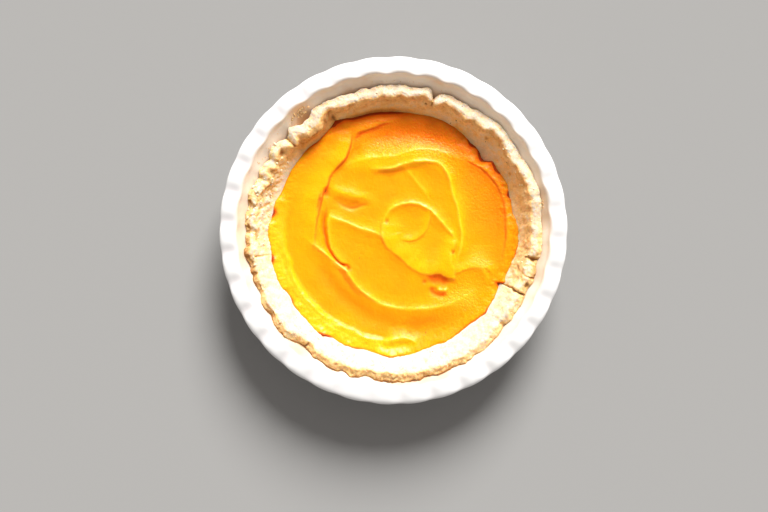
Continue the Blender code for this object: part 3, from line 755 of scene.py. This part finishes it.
# how far the puree's edge rounds down to the crust: angle, half width, depth
edgeDrop = [
    (17.5, 2, 1), (31, 4.5, 1.3), (40, 4, 1.6), (48, 3, 1.4), (91, 11, 1.5), (108, 9, 1.4), (118, 3, 1.3),
    (130, 8, 0.5), (171, 2.5, 1.2), (193.5, 2.5, 0.9), (236, 3, 0.9), (333.4, 1.8, 1.6),
]
# where painted shade darkens the line between the puree and the crust: angle, half width, strength
contactShadeMarks = [
    (17.2, 2.5, 1.7), (31.8, 3.5, 1.7), (39.3, 3, 1.9), (49, 3.5, 1.4), (60, 5, 0.7), (124, 9, 1),
    (134, 5, 0.9), (171.9, 1.6, 1.4), (192.7, 1.6, 1.7), (214.3, 3, 0.9), (237, 2.8, 1.8), (250.7, 4, 1),
    (268, 6, 0.8), (308.3, 7, 1.2), (319, 3, 1.6), (350.8, 2.5, 1.3),
]
# each stroke: the crest's height (negative for a hollow), the slopes' widths to the left and right of
# its run, crisp for slopes that start at a sharp crest, how much it leans to its narrow side, a taper
# for each end, a crease with painted shade at the foot of the left (or, negative, right) slope, and the line
# it runs along
spoonStrokes = {
    "leftLip": dict(height=2.2, left=2.2, right=12, crisp="left", lean=0.6, tapers=(0.11, 0.4), creaseAndShade=1,
        line=[(-31, 74.5), (-31.9, 70.5), (-32.4, 65.5), (-34.2, 60), (-36.9, 53.5), (-42, 47.5),
        (-47.4, 40.6), (-50.3, 33), (-53.5, 26), (-55.5, 17), (-57.5, 8), (-58.5, -1), (-60, -12),
        (-60, -22)]),
    "shelfTop": dict(height=0.8, left=2, right=4, crisp="left", tapers=(0.4, 0.6), creaseAndShade=0.45,
        line=[(-60, 63), (-52, 68.3), (-44, 71.8), (-37, 73.4), (-31.5, 73.4)]),
    "lipTrough": dict(height=-1.3, left=5, right=3, tapers=(0.3, 0.35),
        line=[(-26, 68), (-29, 58), (-36, 49), (-42, 42), (-45, 35)]),
    "topLeftLip": dict(height=1.6, left=6, right=2.6, crisp="right", lean=0.3, tapers=(0.3, 0.4), creaseAndShade=-0.8,
        line=[(-31, 66), (-27.5, 71.5), (-21, 74.5), (-12, 78), (-4, 80.5), (8, 82)]),
    "topLeftShade": dict(height=-0.5, left=2, right=2.8, tapers=(0.3, 0.4), creaseAndShade=0.85,
        line=[(-29.5, 63), (-27.4, 68), (-23, 71.3), (-16.8, 73.7), (-7.1, 78.2), (-2.7, 81.6)]),
    "upperValley": dict(height=-1.9, left=8, right=8, tapers=(0.3, 0.3),
        line=[(-27, 64), (-10, 69), (10, 71.5), (30, 68), (52, 58)]),
    "outerArc": dict(height=1.7, left=4, right=9, crisp="left", lean=0.2, tapers=(0.2, 0.35),
        line=[(-41, 43), (-33, 49.5), (-22, 53), (-10, 54.5), (3, 55.5), (12, 58.5), (20, 60.5), (30, 59.3),
        (43, 56), (55, 51), (66, 46)]),
    "secondArcBase": dict(height=0.9, left=7, right=6, tapers=(0.2, 0.2),
        line=[(-30, 42), (-12, 45), (5, 47), (25, 49), (38, 43), (44, 28), (49, 9), (50, -10), (46, -30)]),
    "secondArc": dict(height=1.5, left=1.9, right=1.9, crisp="both", lean=0.2, tapers=(0.15, 0.15),
        line=[(-24, 45.5), (-12, 46), (-2, 45.7), (5, 48.2), (15, 51), (25, 51.2), (33, 50), (38, 45),
        (41, 39), (43.5, 29), (46.6, 19), (49, 9), (50.7, -1), (50, -12), (47.5, -21), (46, -30)]),
    "arcFoot": dict(height=-0.5, left=1.6, right=3.5, tapers=(0.3, 0.3), creaseAndShade=0.3,
        line=[(-20, 42.5), (-6, 43), (6, 44.5), (18, 47.5), (28, 47)]),
    "innerLine": dict(height=0.6, left=1.9, right=1.8, crisp="both", tapers=(0.3, 0.3),
        line=[(4, 49), (9, 45), (15, 39), (19.3, 32.7), (23.7, 27.8), (27.5, 20)]),
    "rightLip": dict(height=1.9, left=4.5, right=2.4, crisp="right", lean=0.3, tapers=(0.25, 0.3),
        creaseAndShade=-0.85, line=[(46, 58), (57, 51), (65, 47), (73, 40), (80, 29), (83.5, 14), (84, -1),
        (82.5, -16), (78, -28)]),
    "leftLump": dict(height=1.5, left=4.2, right=4, lean=0.2, tapers=(0.25, 0.4), creaseAndShade=-0.15,
        line=[(-50, 33), (-41, 29.4), (-32, 26.6), (-22, 24), (-10, 20)]),
    "leftHollow": dict(height=-1, left=4.6, right=2.2, tapers=(0.45, 0.45), creaseAndShade=0.75,
        line=[(-46, 25), (-38, 20), (-31, 17.4), (-24, 19), (-15, 22.5)]),
    "streak": dict(height=1.7, left=3.2, right=3.4, crisp="both", lean=0.3, tapers=(0.25, 0.2),
        line=[(-50, 12), (-38.5, 7), (-29, 3.4), (-20, 0.5), (-10, -3.6), (-4, -9)]),
    "leftGroove": dict(height=-2.2, left=1.5, right=2.2, tapers=(0.25, 0.12), creaseAndShade=0.8,
        line=[(-48.5, 19), (-50.5, 8), (-50.8, 0), (-49, -9.5), (-44, -19.5), (-38, -25), (-33, -27.6)]),
    "grooveHook": dict(height=-0.6, left=1.2, right=1.2, tapers=(0.3, 0.2), creaseAndShade=1.3,
        line=[(-40, -23.4), (-36.6, -25.3), (-34.2, -25.2), (-33.2, -27), (-34.8, -28.4)]),
    "lipPit": dict(height=-0.8, left=3, right=3, tapers=(0.35, 0.35), creaseAndShade=0.6,
        line=[(-51.2, 33.5), (-50.2, 30), (-49.8, 27), (-51.6, 23.5)]),
    "lipTeeth": dict(height=-0.5, left=2, right=1.6, tapers=(0.25, 0.3), creaseAndShade=0.7,
        line=[(-51.5, 31), (-54.6, 26), (-56, 18.5), (-57, 12.5)]),
    "grooveCrest": dict(height=1.2, left=4, right=1.2, crisp="both", lean=0.4, tapers=(0.2, 0.2),
        line=[(-46, 16), (-47.4, 0), (-45.7, -12), (-40, -21), (-32, -24)]),
    "lowerLeftCrest": dict(height=1.7, left=3.2, right=3.4, crisp="both", lean=0.3, tapers=(0.2, 0.15),
        creaseAndShade=-0.4, line=[(-66, -4), (-56.8, -12.4), (-47, -20), (-36.3, -28.6), (-32.5, -34.5),
        (-27.5, -41), (-20, -47.8), (-8, -54)]),
    "lowerCrest": dict(height=1.5, left=3, right=3.8, crisp="both", lean=0.3, tapers=(0.15, 0.6),
        line=[(-22, -48), (-10, -54), (0, -56.5), (12.5, -57.5), (28.6, -57.4), (38.6, -55), (50, -50.5),
        (60, -44), (69, -35)]),
    "lowerValley": dict(height=-1.4, left=6, right=7, tapers=(0.2, 0.3),
        line=[(-62, -14), (-53, -28), (-42, -43), (-26, -57), (-10, -66), (15, -70), (40, -64), (58, -52)]),
    "crestShade": dict(height=-0.5, left=2, right=2.6, tapers=(0.3, 0.35), creaseAndShade=0.55,
        line=[(-47, -24), (-39, -30), (-34, -38), (-28, -45), (-21, -51)]),
    "bankGlint": dict(height=0.9, left=2.6, right=2.2, crisp="both", lean=0.3, tapers=(0.4, 0.4),
        line=[(-71, -38), (-66, -45), (-60.5, -51.5), (-54, -57), (-47, -61)]),
    "bankEdge": dict(height=0.9, left=1.8, right=2.6, crisp="left", lean=0.4, tapers=(0.35, 0.15),
        line=[(-86, 10), (-82, -10), (-76.2, -24), (-73.4, -35), (-66.6, -47.8), (-61, -53), (-54, -60.1),
        (-45.6, -65.2), (-36.3, -70.8), (-28, -74.2), (-21, -78.3), (-6, -82)]),
    "bankFold": dict(height=0.5, left=1.2, right=1.8, crisp="both", tapers=(0.25, 0.25),
        line=[(-87.5, -8), (-80, -30), (-70, -47), (-57, -62), (-42, -73), (-24, -82)]),
    "footBump": dict(height=1.9, left=3, right=3.6, crisp="left", lean=0.2, tapers=(0.3, 0.3),
        line=[(-10, -82), (2.5, -79.5), (11, -79.5), (22, -85)]),
    "tongueSide": dict(height=2.2, left=13, right=3.6, crisp="right", lean=0.4, tapers=(0.2, 0.1),
        creaseAndShade=-0.35, line=[(-4, 16), (-7, 7), (-8, -3), (-4, -11.5), (6, -19.7), (11, -24.4),
        (18.7, -29.8), (26.4, -31.4), (33.5, -31), (38, -33), (44, -35.6)]),
    "tongueTop": dict(height=1.7, left=2.4, right=2.4, crisp="both", lean=0.3, tapers=(0.2, 0.12),
        line=[(-7, 5), (-5, 12.5), (-2, 16.5), (2.5, 19), (11, 20.7), (18.7, 20.2), (27, 16), (33.6, 9),
        (40, 2), (47, -8)]),
    "tongueRight": dict(height=2, left=1.6, right=6, crisp="left", lean=0.5, tapers=(0.2, 0.15), creaseAndShade=0.3,
        line=[(47, -4), (43.2, -14.5), (42.2, -22.5), (44, -29.5), (43.8, -39)]),
    "spoonPrint": dict(height=0.9, left=4, right=1, crisp="right", lean=0.3, tapers=(0.25, 0.3), creaseAndShade=-0.3,
        line=[(2, -4), (8, -6.4), (15, -6.3), (21.5, -2), (25.3, 5), (26, 13), (23, 19)]),
    "cavity": dict(height=-1, left=4.4, right=4.4, tapers=(0.5, 0.3), creaseAndShade=0.95,
        line=[(22, -34.5), (28, -35.6), (34, -36), (38.5, -37.6), (41.5, -40.6)]),
    "cavityFoot": dict(height=-0.3, left=2.8, right=2.8, tapers=(0.35, 0.3), creaseAndShade=1,
        line=[(23, -32.8), (28, -33.2), (33.8, -32.9), (38, -34.8), (42.5, -37.2)]),
    "pocket": dict(height=-1, left=2.6, right=2.6, tapers=(0.2, 0.3), creaseAndShade=0.95,
        line=[(27.4, -40), (28.6, -43.8), (32.6, -46.6), (37.6, -47), (42, -44.8)]),
    "curl": dict(height=1.3, left=1.5, right=1.9, crisp="both", lean=0.2, tapers=(0.3, 0.3),
        line=[(31.5, -41.4), (34.4, -43.7), (37.8, -44.3), (41.6, -43)]),
    "rightCrest": dict(height=1.6, left=5.5, right=2.8, crisp="right", lean=0.3, tapers=(0.2, 0.3),
        creaseAndShade=-0.2, line=[(42, -32), (52, -28.4), (61, -26.6), (70, -28), (75, -35)]),
    "rightFold": dict(height=0.8, left=1.6, right=3, crisp="left", lean=0.3, tapers=(0.3, 0.4),
        line=[(62, -26), (67.5, -31), (70.5, -40)]),
}
# small pits: x, y, radius and depth
pits = [
    (-50.4, 29, 2, 0.3), (-54.4, 23.4, 1.4, 0.3), (-4.7, 7.3, 1.4, 0.7), (43.4, -15.7, 1.5, 1),
    (-33, -28, 1.5, 0.7), (23, -37.6, 1.6, 0.5),
]
# wide wet patches, with painted sheen and glossier ripples: x, y, radius and strength
wetSheens = [
    (54, -49, 8, 0.75), (43, -50, 6, 0.55), (63, -19, 9, 0.6), (-12, 60, 7, 0.25), (-30, 33, 5, 0.35),
    (-34, 50, 6, 0.2),
]


def strokeEffect(stroke, places):
    # one stroke's height, sideways lean, crease with its painted shade, and painted crest highlight at each
    # place
    line, tall, left, right = stroke["line"], stroke["height"], stroke["left"], stroke["right"]
    path = splineThrough(line, np.linspace(0, len(line) - 1, 26 * (len(line) - 1) + 1))
    reach = 3.4 * max(left, right)
    low, high = path.min(axis=0) - reach, path.max(axis=0) + reach
    near = np.flatnonzero(((places > low) & (places < high)).all(axis=1))
    along = np.gradient(path, axis=0)
    along /= np.linalg.norm(along, axis=1)[:, None]
    travel = np.concatenate(([0.0], np.cumsum(np.linalg.norm(np.diff(path, axis=0), axis=1))))
    travel /= travel[-1]
    nearest = np.empty(len(near), int)
    batch = 20000  # keeps the table of distances small
    for start in range(0, len(near), batch):
        chunk = places[near[start:start + batch]]
        gap = (chunk[:, None, 0] - path[None, :, 0]) ** 2 + (chunk[:, None, 1] - path[None, :, 1]) ** 2
        nearest[start:start + batch] = gap.argmin(axis=1)
    away = places[near] - path[nearest]
    tangent = along[nearest]
    side = tangent[:, 0] * away[:, 1] - tangent[:, 1] * away[:, 0]
    distance = np.hypot(away[:, 0], away[:, 1])
    onLeft = side > 0.0
    width = np.where(onLeft, left, right)
    first, last = stroke["tapers"]
    share = travel[nearest]
    taper = easeBetween(0.0, first, share) * easeBetween(0.0, last, 1.0 - share)
    # a hand's uneven push along the stroke
    beat = np.column_stack((share * len(line) * 0.8, np.tile(np.array(line[0], float), (len(share), 1))))
    taper *= 1.0 + 0.28 * softNoise(beat, 3)
    crispSides = stroke.get("crisp", "")
    crisp = np.where(onLeft, crispSides in ("left", "both"), crispSides in ("right", "both"))
    pointed = np.exp(-(np.sqrt(distance ** 2 + 0.09) - 0.3) / width)
    pointed *= 1.0 - easeBetween(2.4, 3.4, distance / width)
    shape = np.where(crisp, pointed, np.exp(-(distance / width) ** 2))
    height = tall * taper * shape
    # the crease, a small dip painted darker as shade, lies at the foot of one slope, or along the middle of a
    # hollow
    creaseAndShade = stroke.get("creaseAndShade", 0.0)
    foot, spread = (0.0, 0.55 * min(left, right)) if tall < 0.0 else (1.1, 0.9)
    mark = np.exp(-((side * np.sign(creaseAndShade or 1.0) - foot) / spread) ** 2) * taper * (distance < 4.0)
    if tall > 0.0:
        height -= 0.45 * abs(creaseAndShade) * mark
    # painted highlight along the crisp crests
    glow = {"": 0.0, "both": 1.0}.get(crispSides, 0.35) if tall > 0.0 else 0.0
    crestGlint = glow * taper * np.exp(-(distance / 1.1) ** 2) * min(1.0, tall / 1.5)
    narrow = 1.0 if left < right else -1.0
    normal = np.column_stack((-tangent[:, 1], tangent[:, 0])) * narrow
    lean = stroke.get("lean", 0.0) * taper * np.exp(-(distance / (1.6 * min(left, right))) ** 2)
    result = np.zeros((len(places), 5))
    result[near] = np.column_stack((height, normal * lean[:, None], abs(creaseAndShade) * mark, crestGlint))
    return result


def fillingEdge(angle):
    # where the puree ends, and how high it lies there on the crust's wall
    wall = crustLook
    edge = ringTable(fillingEdgeMarks, angle)
    return edge, wall["innerLevel"] + (edge - wall["innerRadius"]) / wall["innerSlope"]


def discGrid(cells):
    # a square grid folded evenly onto a disc: unit places, faces and the loop of edge vertices
    line = np.linspace(-1.0, 1.0, cells + 1)
    a, b = np.meshgrid(line, line, indexing="ij")
    wide = np.abs(a) > np.abs(b)
    safeA = np.where(np.abs(a) < 1e-12, 1.0, a)
    safeB = np.where(np.abs(b) < 1e-12, 1.0, b)
    radius = np.where(wide, a, b)
    turn = np.where(wide, math.pi / 4 * b / safeA, math.pi / 2 - math.pi / 4 * a / safeB)
    turn = np.where((np.abs(a) < 1e-12) & (np.abs(b) < 1e-12), 0.0, turn)
    places = np.stack((radius * np.cos(turn), radius * np.sin(turn)), axis=-1).reshape(-1, 2)
    side = cells + 1
    corner = (np.arange(cells)[:, None] * side + np.arange(cells)[None, :]).ravel()
    faces = np.stack((corner, corner + side, corner + side + 1, corner + 1), axis=-1)
    steps = np.arange(cells)
    loop = np.concatenate((steps * side, cells * side + steps, (cells - steps) * side + cells, cells - steps))
    return places, faces.tolist(), loop


def makeFilling():
    look = fillingLook
    unit, faces, loop = discGrid(look["cells"])
    share = np.hypot(unit[:, 0], unit[:, 1])
    angle = np.degrees(np.arctan2(unit[:, 1], unit[:, 0])) % 360.0
    edge, edgeLevel = fillingEdge(angle)
    flat = unit * (edge + look["sinkIntoCrust"])[:, None]
    solid = np.column_stack((flat, np.zeros(len(flat))))
    reach = np.hypot(flat[:, 0], flat[:, 1])
    seed = look["seed"]

    def zone(label):
        return humpSum(look["zones"][label], angle)

    def spots(marks):
        return [(amount, np.exp(-((flat[:, 0] - x) ** 2 + (flat[:, 1] - y) ** 2) / radius ** 2))
                for x, y, radius, amount in marks]

    # the strokes are read through a slight warp, so that no line stays smooth
    (wide, wideShift), (fine, fineShift) = look["warp"]
    bend = np.column_stack([
        wideShift * softNoise(solid / wide + start, seed) + fineShift * softNoise(solid / fine + start, 8)
        for start in (0.0, 31.7)])
    strokes = [strokeEffect(stroke, flat + bend) for stroke in spoonStrokes.values()]
    height, leanX, leanY, creaseAndShade, crestGlint = sum(strokes).T
    # the pits are sunk and painted darker as shade
    for depth, pit in spots(pits):
        height -= depth * pit
        creaseAndShade += 0.7 * pit
    # the bank's crest
    bank = zone("bank")
    pastCrest = reach - look["bankFrom"] - 0.9 * layeredNoise(solid, 9.0, seed + 20, 2)
    crestRise = easeBetween(0.0, 4.6, pastCrest)
    height += bank * (crestRise + 0.55 * easeBetween(2.5, 12.0, pastCrest))
    # painted sheen on the bank's crest and on the wet patches
    wetSheen = sum(strength * smear for strength, smear in spots(wetSheens))
    crestGlint += 0.30 * bank * crestRise + wetSheen
    # grain, and torn lumps beside the crust, most on the right, and on the bank's crest
    inFromEdge = (1.0 - share) * edge
    nearEdge = 1.0 - easeBetween(0.0, look["edgeReach"], inFromEdge)
    waver = look["waver"] * layeredNoise(solid, 22.0, seed + 1, 2)
    grain = look["grainHeight"] * layeredNoise(solid, 2.2, seed + 5, 2)
    torn = (look["leastTorn"] + zone("torn")) * layeredNoise(solid, look["tornSize"], seed + 9, 2)
    torn *= easeBetween(13.0, 4.0, inFromEdge)
    level = (look["level"] + height + waver) * (1.0 - nearEdge) + (edgeLevel + 0.6) * nearEdge + grain + torn
    # the edge rounds down, with a painted shadow line where the puree dips below the crust's wall
    drop = 0.5 + humpSum(edgeDrop, angle)
    level -= drop * np.exp(-(np.clip(inFromEdge, 0.0, None) / (0.9 + 0.45 * drop)) ** 1.5)
    contact = np.clip(inFromEdge - 0.9 - 0.9 * np.clip(drop - 0.5, 0.0, None), 0.0, None)
    creaseAndShade += np.clip(1.9 * (drop - 0.8), 0.0, 2.1) * np.exp(-(contact / (0.9 + 0.80 * drop)) ** 1.6)
    creaseAndShade += (0.25 + humpSum(contactShadeMarks, angle)) * np.exp(-(contact / 0.9) ** 2)
    shaded = zone("shadedBack") * easeBetween(56.0, 84.0, reach)
    shaded += zone("shadedSides") * easeBetween(45.0, 80.0, reach)
    ripple = zone("rippled") * easeBetween(50.0, 66.0, reach) + 1.3 * wetSheen
    lean = np.column_stack((leanX, leanY)) * (1.0 - nearEdge)[:, None]
    top = np.column_stack((flat + lean, level))
    # a skirt down the crust's wall and a flat underside close the body
    rim = top[loop][:, :2]
    outward = rim / np.hypot(rim[:, 0], rim[:, 1])[:, None]
    skirt = [np.column_stack((outward * radius, np.full(len(loop), low))) for radius, low in look["skirt"]]
    vertices = np.concatenate([top, *skirt, [(0.0, 0.0, look["skirt"][-1][1])]])
    count = len(top)
    rows = [loop, *(count + np.arange(3 * len(loop)).reshape(3, -1))]
    for upper, lower in zip(rows, rows[1:]):
        faces += quadsBetween(upper, lower)
    faces += fanFaces(len(vertices) - 1, rows[-1], True)
    marks = {"relief": height, "creaseAndShade": creaseAndShade, "crestGlint": crestGlint, "ripple": ripple, "shaded": shaded}
    marks = {label: np.pad(values, (0, len(vertices) - count)) for label, values in marks.items()}
    filling = meshObject("pumpkinFilling", vertices, faces, marks)
    filling.data.materials.append(pureeMaterial())
    facesOutward(filling)
    relief = (height.min().round(2), height.max().round(2))
    print("filling:", len(filling.data.polygons), "faces, relief", *relief)
    return filling


def pureeMaterial():
    look = fillingLook
    material, tree, tone, grain = startMaterial("pumpkinPuree", *look["grain"])
    creaseAndShade = readAttribute(tree, "creaseAndShade")
    # painted shade: lower places lean towards the hollow colour, and the grain mottles towards it too
    color = mixColors(tree, remap(tree, "relief", -2.0, 1.8, 0.0, 1.0), look["hollow"], look["body"])
    # painted highlight on the crests, and painted shade in the creases and along the contact line
    for source, low, high, most, tint in (
            (tone, 0.3, 0.7, 0.35, "hollow"), ("crestGlint", 0.0, 1.0, 0.8, "crestGlint"),
            ("shaded", 0.0, 1.0, 0.9, "shaded"), (creaseAndShade, 0.0, 1.0, 1.0, "creaseAndShade"),
            (creaseAndShade, 1.35, 2.2, 1.0, "contactShade")):
        color = mixColors(tree, remap(tree, source, low, high, 0.0, most), color, look[tint])
    # the ridges shine, the creases are dull
    grained = remap(tree, grain, 0.35, 0.65, look["roughness"] - 0.06, look["roughness"] + 0.10)
    rough = calculate(tree, "ADD", grained, remap(tree, creaseAndShade, 0.0, 0.8, 0.0, look["creaseDull"]))
    # fine sheen everywhere, and coarser ripples where the puree lies in the rim's shade or is wet
    waves = addNode(tree, "ShaderNodeTexNoise", {
        "Vector": addNode(tree, "ShaderNodeTexCoord").outputs["Object"],
        "Scale": 620.0, "Detail": 2.0, "Roughness": 0.5, "Distortion": 0.4})
    fine = bumpFrom(tree, grain, 0.40, 0.0005)
    return finishMaterial(material, {
        "Base Color": color, "Roughness": rough, "Specular IOR Level": look["shine"],
        "Coat Weight": remap(tree, "crestGlint", 0.1, 0.8, 0.0, look["ridgeGloss"]), "Coat Roughness": 0.33,
        "Subsurface Weight": 0.75, "Subsurface Scale": 0.005, "Subsurface Radius": (1.0, 0.18, 0.03),
        "Normal": bumpFrom(tree, waves, remap(tree, "ripple", 0.0, 1.0, 0.10, 0.75), 0.0010, Normal=fine)})


# Crumbs and herb specks: small lumps set on what carries them, grown by one geometry tree.

bitsLook = {
    "seed": 29, "jag": 0.9, "dropFrom": 100.0,
    "crumbColor": (0.97, 0.79, 0.54), "toastedColor": (0.97, 0.62, 0.30),
    "herbColor": (0.045, 0.040, 0.016), "grain": (400.0, 1800.0, 0.5),
    # how many loose crumbs lie on each stretch: angle, half width, radius from and to, count, size
    "crumbBeds": [(170, 24, 97, 107, 26, 1.15), (160, 22, 92, 98, 26, 0.85), (215, 26, 100, 108, 18, 0.5),
                  (346, 14, 96, 106, 12, 0.6), (20, 22, 98, 107, 20, 0.6), (90, 45, 99, 106, 34, 0.55),
                  (300, 40, 101, 108, 20, 0.4)],
    # crumbs that slid down between crust and dish and browned there
    "toastedBeds": [(128.5, 3.6, 107.5, 111.3, 44, 0.95), (10, 2.4, 109.5, 111.2, 14, 0.5),
                    (145, 14, 107.6, 110.5, 22, 0.40), (84, 26, 107.8, 109.6, 24, 0.34)],
    # herb specks seen one by one: angle, radius and size
    "herbSpots": [(60.3, 93.1, 0.60), (61.0, 103.2, 0.42), (62.0, 89.9, 0.45), (76.0, 96.0, 0.42),
                  (222, 95.3, 0.42), (228, 99.6, 0.38), (234, 114.2, 0.36), (235, 96.0, 0.45),
                  (274, 100.6, 0.50), (274.8, 101.6, 0.36), (288, 93.2, 0.45), (218.7, 32.0, 0.40),
                  (267.5, 68.1, 0.30), (287.7, 78.7, 0.45), (7.9, 79.8, 0.36), (14.0, 49.5, 0.32),
                  (31.0, 96.5, 0.42), (44.0, 94.0, 0.36), (104, 99.0, 0.30), (340, 99.0, 0.38)],
    # fine herb dust in the crust: count, radius from and to, size
    "herbDust": (26, 92, 108, 0.22),
}


def scatterTree():
    # one jagged lump on every point, turned and stretched at random
    tree, given, leave = newTree("GeometryNodeTree", "scatteredBits", [
        ("Geometry", "Geometry"), ("Detail", "Int", 2), ("Seed", "Int", 1), ("Jag", "Float", 0.3),
        ("Material", "Material")], [("Geometry", "Geometry")])

    def randomVector(low, high, extraSeed):
        return addNode(tree, "FunctionNodeRandomValue", {
            "Min": low, "Max": high, "Seed": calculate(tree, "ADD", given["Seed"], extraSeed)},
            data_type="FLOAT_VECTOR").outputs["Value"]

    def scaled(vector, amount):
        return addNode(tree, "ShaderNodeVectorMath", {0: vector, "Scale": amount}, operation="SCALE")

    ball = addNode(tree, "GeometryNodeMeshIcoSphere", {"Radius": 1.0, "Subdivisions": given["Detail"]})
    size = namedAttribute(tree, "size")
    lumps = addNode(tree, "GeometryNodeInstanceOnPoints", {
        "Points": given["Geometry"], "Instance": ball,
        "Rotation": randomVector((0.0, 0.0, 0.0), (0.7, 0.7, 6.28), 7),
        "Scale": scaled(randomVector((0.6, 0.6, 0.45), (1.4, 1.2, 0.9), 0), size)})
    whole = addNode(tree, "GeometryNodeRealizeInstances", {"Geometry": lumps})
    # the jagged outline: every vertex is pushed by noise, in proportion to the lump's size
    noise = addNode(tree, "ShaderNodeTexNoise", {
        "Vector": addNode(tree, "GeometryNodeInputPosition"), "Scale": 900.0, "Detail": 2.0}).outputs["Color"]
    centred = calculate(tree, "SUBTRACT", noise, (0.5, 0.5, 0.5), kind="VectorMath")
    push = scaled(centred, calculate(tree, "MULTIPLY", given["Jag"], size))
    jagged = addNode(tree, "GeometryNodeSetPosition", {"Geometry": whole, "Offset": push})
    return finishTree(tree, jagged, given["Material"], leave)


def layOn(pieces, spots):
    # drops (angle, radius, size) spots onto the highest surface below them, sunk to their middle
    laid = []
    for angle, radius, size in spots:
        turn = math.radians(angle)
        x, y = radius * math.cos(turn), radius * math.sin(turn)
        above = (x * mm, y * mm, bitsLook["dropFrom"] * mm)
        hits = [piece.ray_cast(above, (0.0, 0.0, -1.0)) for piece in pieces]
        laid.append((x, y, max(hit[1].z for hit in hits if hit[0]) / mm + 0.05 * size))
    return laid


def bitMaterial(name, color):
    material, tree, tone, grain = startMaterial(name, *bitsLook["grain"])
    return finishMaterial(material, {
        "Base Color": mixColors(tree, overGrain(tree, tone, 0.0, 1.0), color, scaledColor(color, 0.7)),
        "Roughness": overGrain(tree, grain, 0.7, 0.9), "Specular IOR Level": 0.2,
        "Subsurface Weight": 0.3, "Subsurface Scale": 0.0003, "Subsurface Radius": (1.0, 0.6, 0.3),
        "Normal": bumpFrom(tree, grain, 0.5, 0.0003)})


def makeBits(carriers):
    look = bitsLook
    draw = np.random.default_rng(look["seed"])
    crumbs, toasted = [
        [(middle + draw.normal() * halfWidth * 0.5, draw.uniform(near, far), size * draw.uniform(0.45, 1.25))
         for middle, halfWidth, near, far, count, size in look[label] for index in range(count)]
        for label in ("crumbBeds", "toastedBeds")]
    count, near, far, size = look["herbDust"]
    herbs = look["herbSpots"] + [
        (draw.uniform(0.0, 360.0), draw.uniform(near, far), size * draw.uniform(0.6, 1.3))
        for index in range(count)]
    tree = scatterTree()
    pieces = []
    for name, spots, color, detail in (("crustCrumbs", crumbs, look["crumbColor"], 2),
                                       ("toastedCrumbs", toasted, look["toastedColor"], 2),
                                       ("herbSpecks", herbs, look["herbColor"], 1)):
        sizes = [size * mm for angle, radius, size in spots]
        base = meshObject(name + "Points", layOn(carriers, spots), [], {"size": sizes})
        pieces.append(growWithNodes(name, base, tree, {
            "Detail": detail, "Seed": look["seed"], "Jag": look["jag"],
            "Material": bitMaterial(name, color)}))
        print(name + ":", len(spots), "bits,", len(pieces[-1].data.polygons), "faces")
    return pieces


# Room, light and camera, in metres.

roomLook = {
    "floorColor": (0.30, 0.298, 0.295), "floorSize": 12.0, "floorLevel": -0.0003,
    "keyAngle": 76.0, "keyElevation": 35.0, "keyWidth": 28.0, "keyStrength": 6.85,
    "keyColor": (1.0, 0.985, 0.96), "skyColor": (1.0, 0.95, 0.91), "skyStrength": 0.41,
    "cameraPlace": (-0.00684, -0.01853, 0.989), "focalPixels": 1308.0, "imageWidth": 768.0,
}


def towardWindow():
    angle = math.radians(roomLook["keyAngle"])
    rise = math.radians(roomLook["keyElevation"])
    return np.array((math.cos(rise) * math.cos(angle), math.cos(rise) * math.sin(angle), math.sin(rise)))


def makeRoom():
    look = roomLook
    half, low = look["floorSize"] / 2.0 / mm, look["floorLevel"] / mm
    corners = [(-half, -half, low), (half, -half, low), (half, half, low), (-half, half, low)]
    floor = meshObject("floor", corners, [(0, 1, 2, 3)])
    material = bpy.data.materials.new("paleFloor")
    material.use_nodes = True
    floor.data.materials.append(finishMaterial(material, {
        "Base Color": look["floorColor"], "Roughness": 0.9, "Specular IOR Level": 0.1}))
    key = bpy.data.lights.new("windowLight", "SUN")  # far off, so that it lights the floor evenly
    key.energy = look["keyStrength"]
    key.angle = math.radians(look["keyWidth"])
    key.color = look["keyColor"]
    lamp = addPiece("windowLight", key)
    lamp.location = towardWindow()
    tilt, turn = 90.0 - look["keyElevation"], look["keyAngle"] + 90.0
    lamp.rotation_euler = (math.radians(tilt), 0.0, math.radians(turn))
    world = bpy.data.worlds.new("studio")
    world.use_nodes = True
    setInputs(world.node_tree, world.node_tree.nodes["Background"], {
        "Color": look["skyColor"], "Strength": look["skyStrength"]})
    bpy.context.scene.world = world


def makeCamera():
    look = roomLook
    data = bpy.data.cameras.new("camera")
    data.sensor_width = 36.0
    data.lens = look["focalPixels"] / look["imageWidth"] * data.sensor_width
    camera = addPiece("camera", data)
    camera.location = look["cameraPlace"]
    bpy.context.scene.camera = camera
    bpy.context.scene.view_settings.view_transform = "Standard"


makeCamera()
makeRoom()
print("room, light and camera ready")

dish, crust, filling = makeDish(), makeCrust(), makeFilling()
bits = makeBits([dish, crust, filling])
for piece, slot in ((dish, "white_glaze"), (crust, "baked_shortcrust"), (filling, "pumpkin_puree"),
                    *((bit, "baked_shortcrust") for bit in bits)):
    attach(piece, "root")
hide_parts("dish")
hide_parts("crust")
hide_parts("filling")
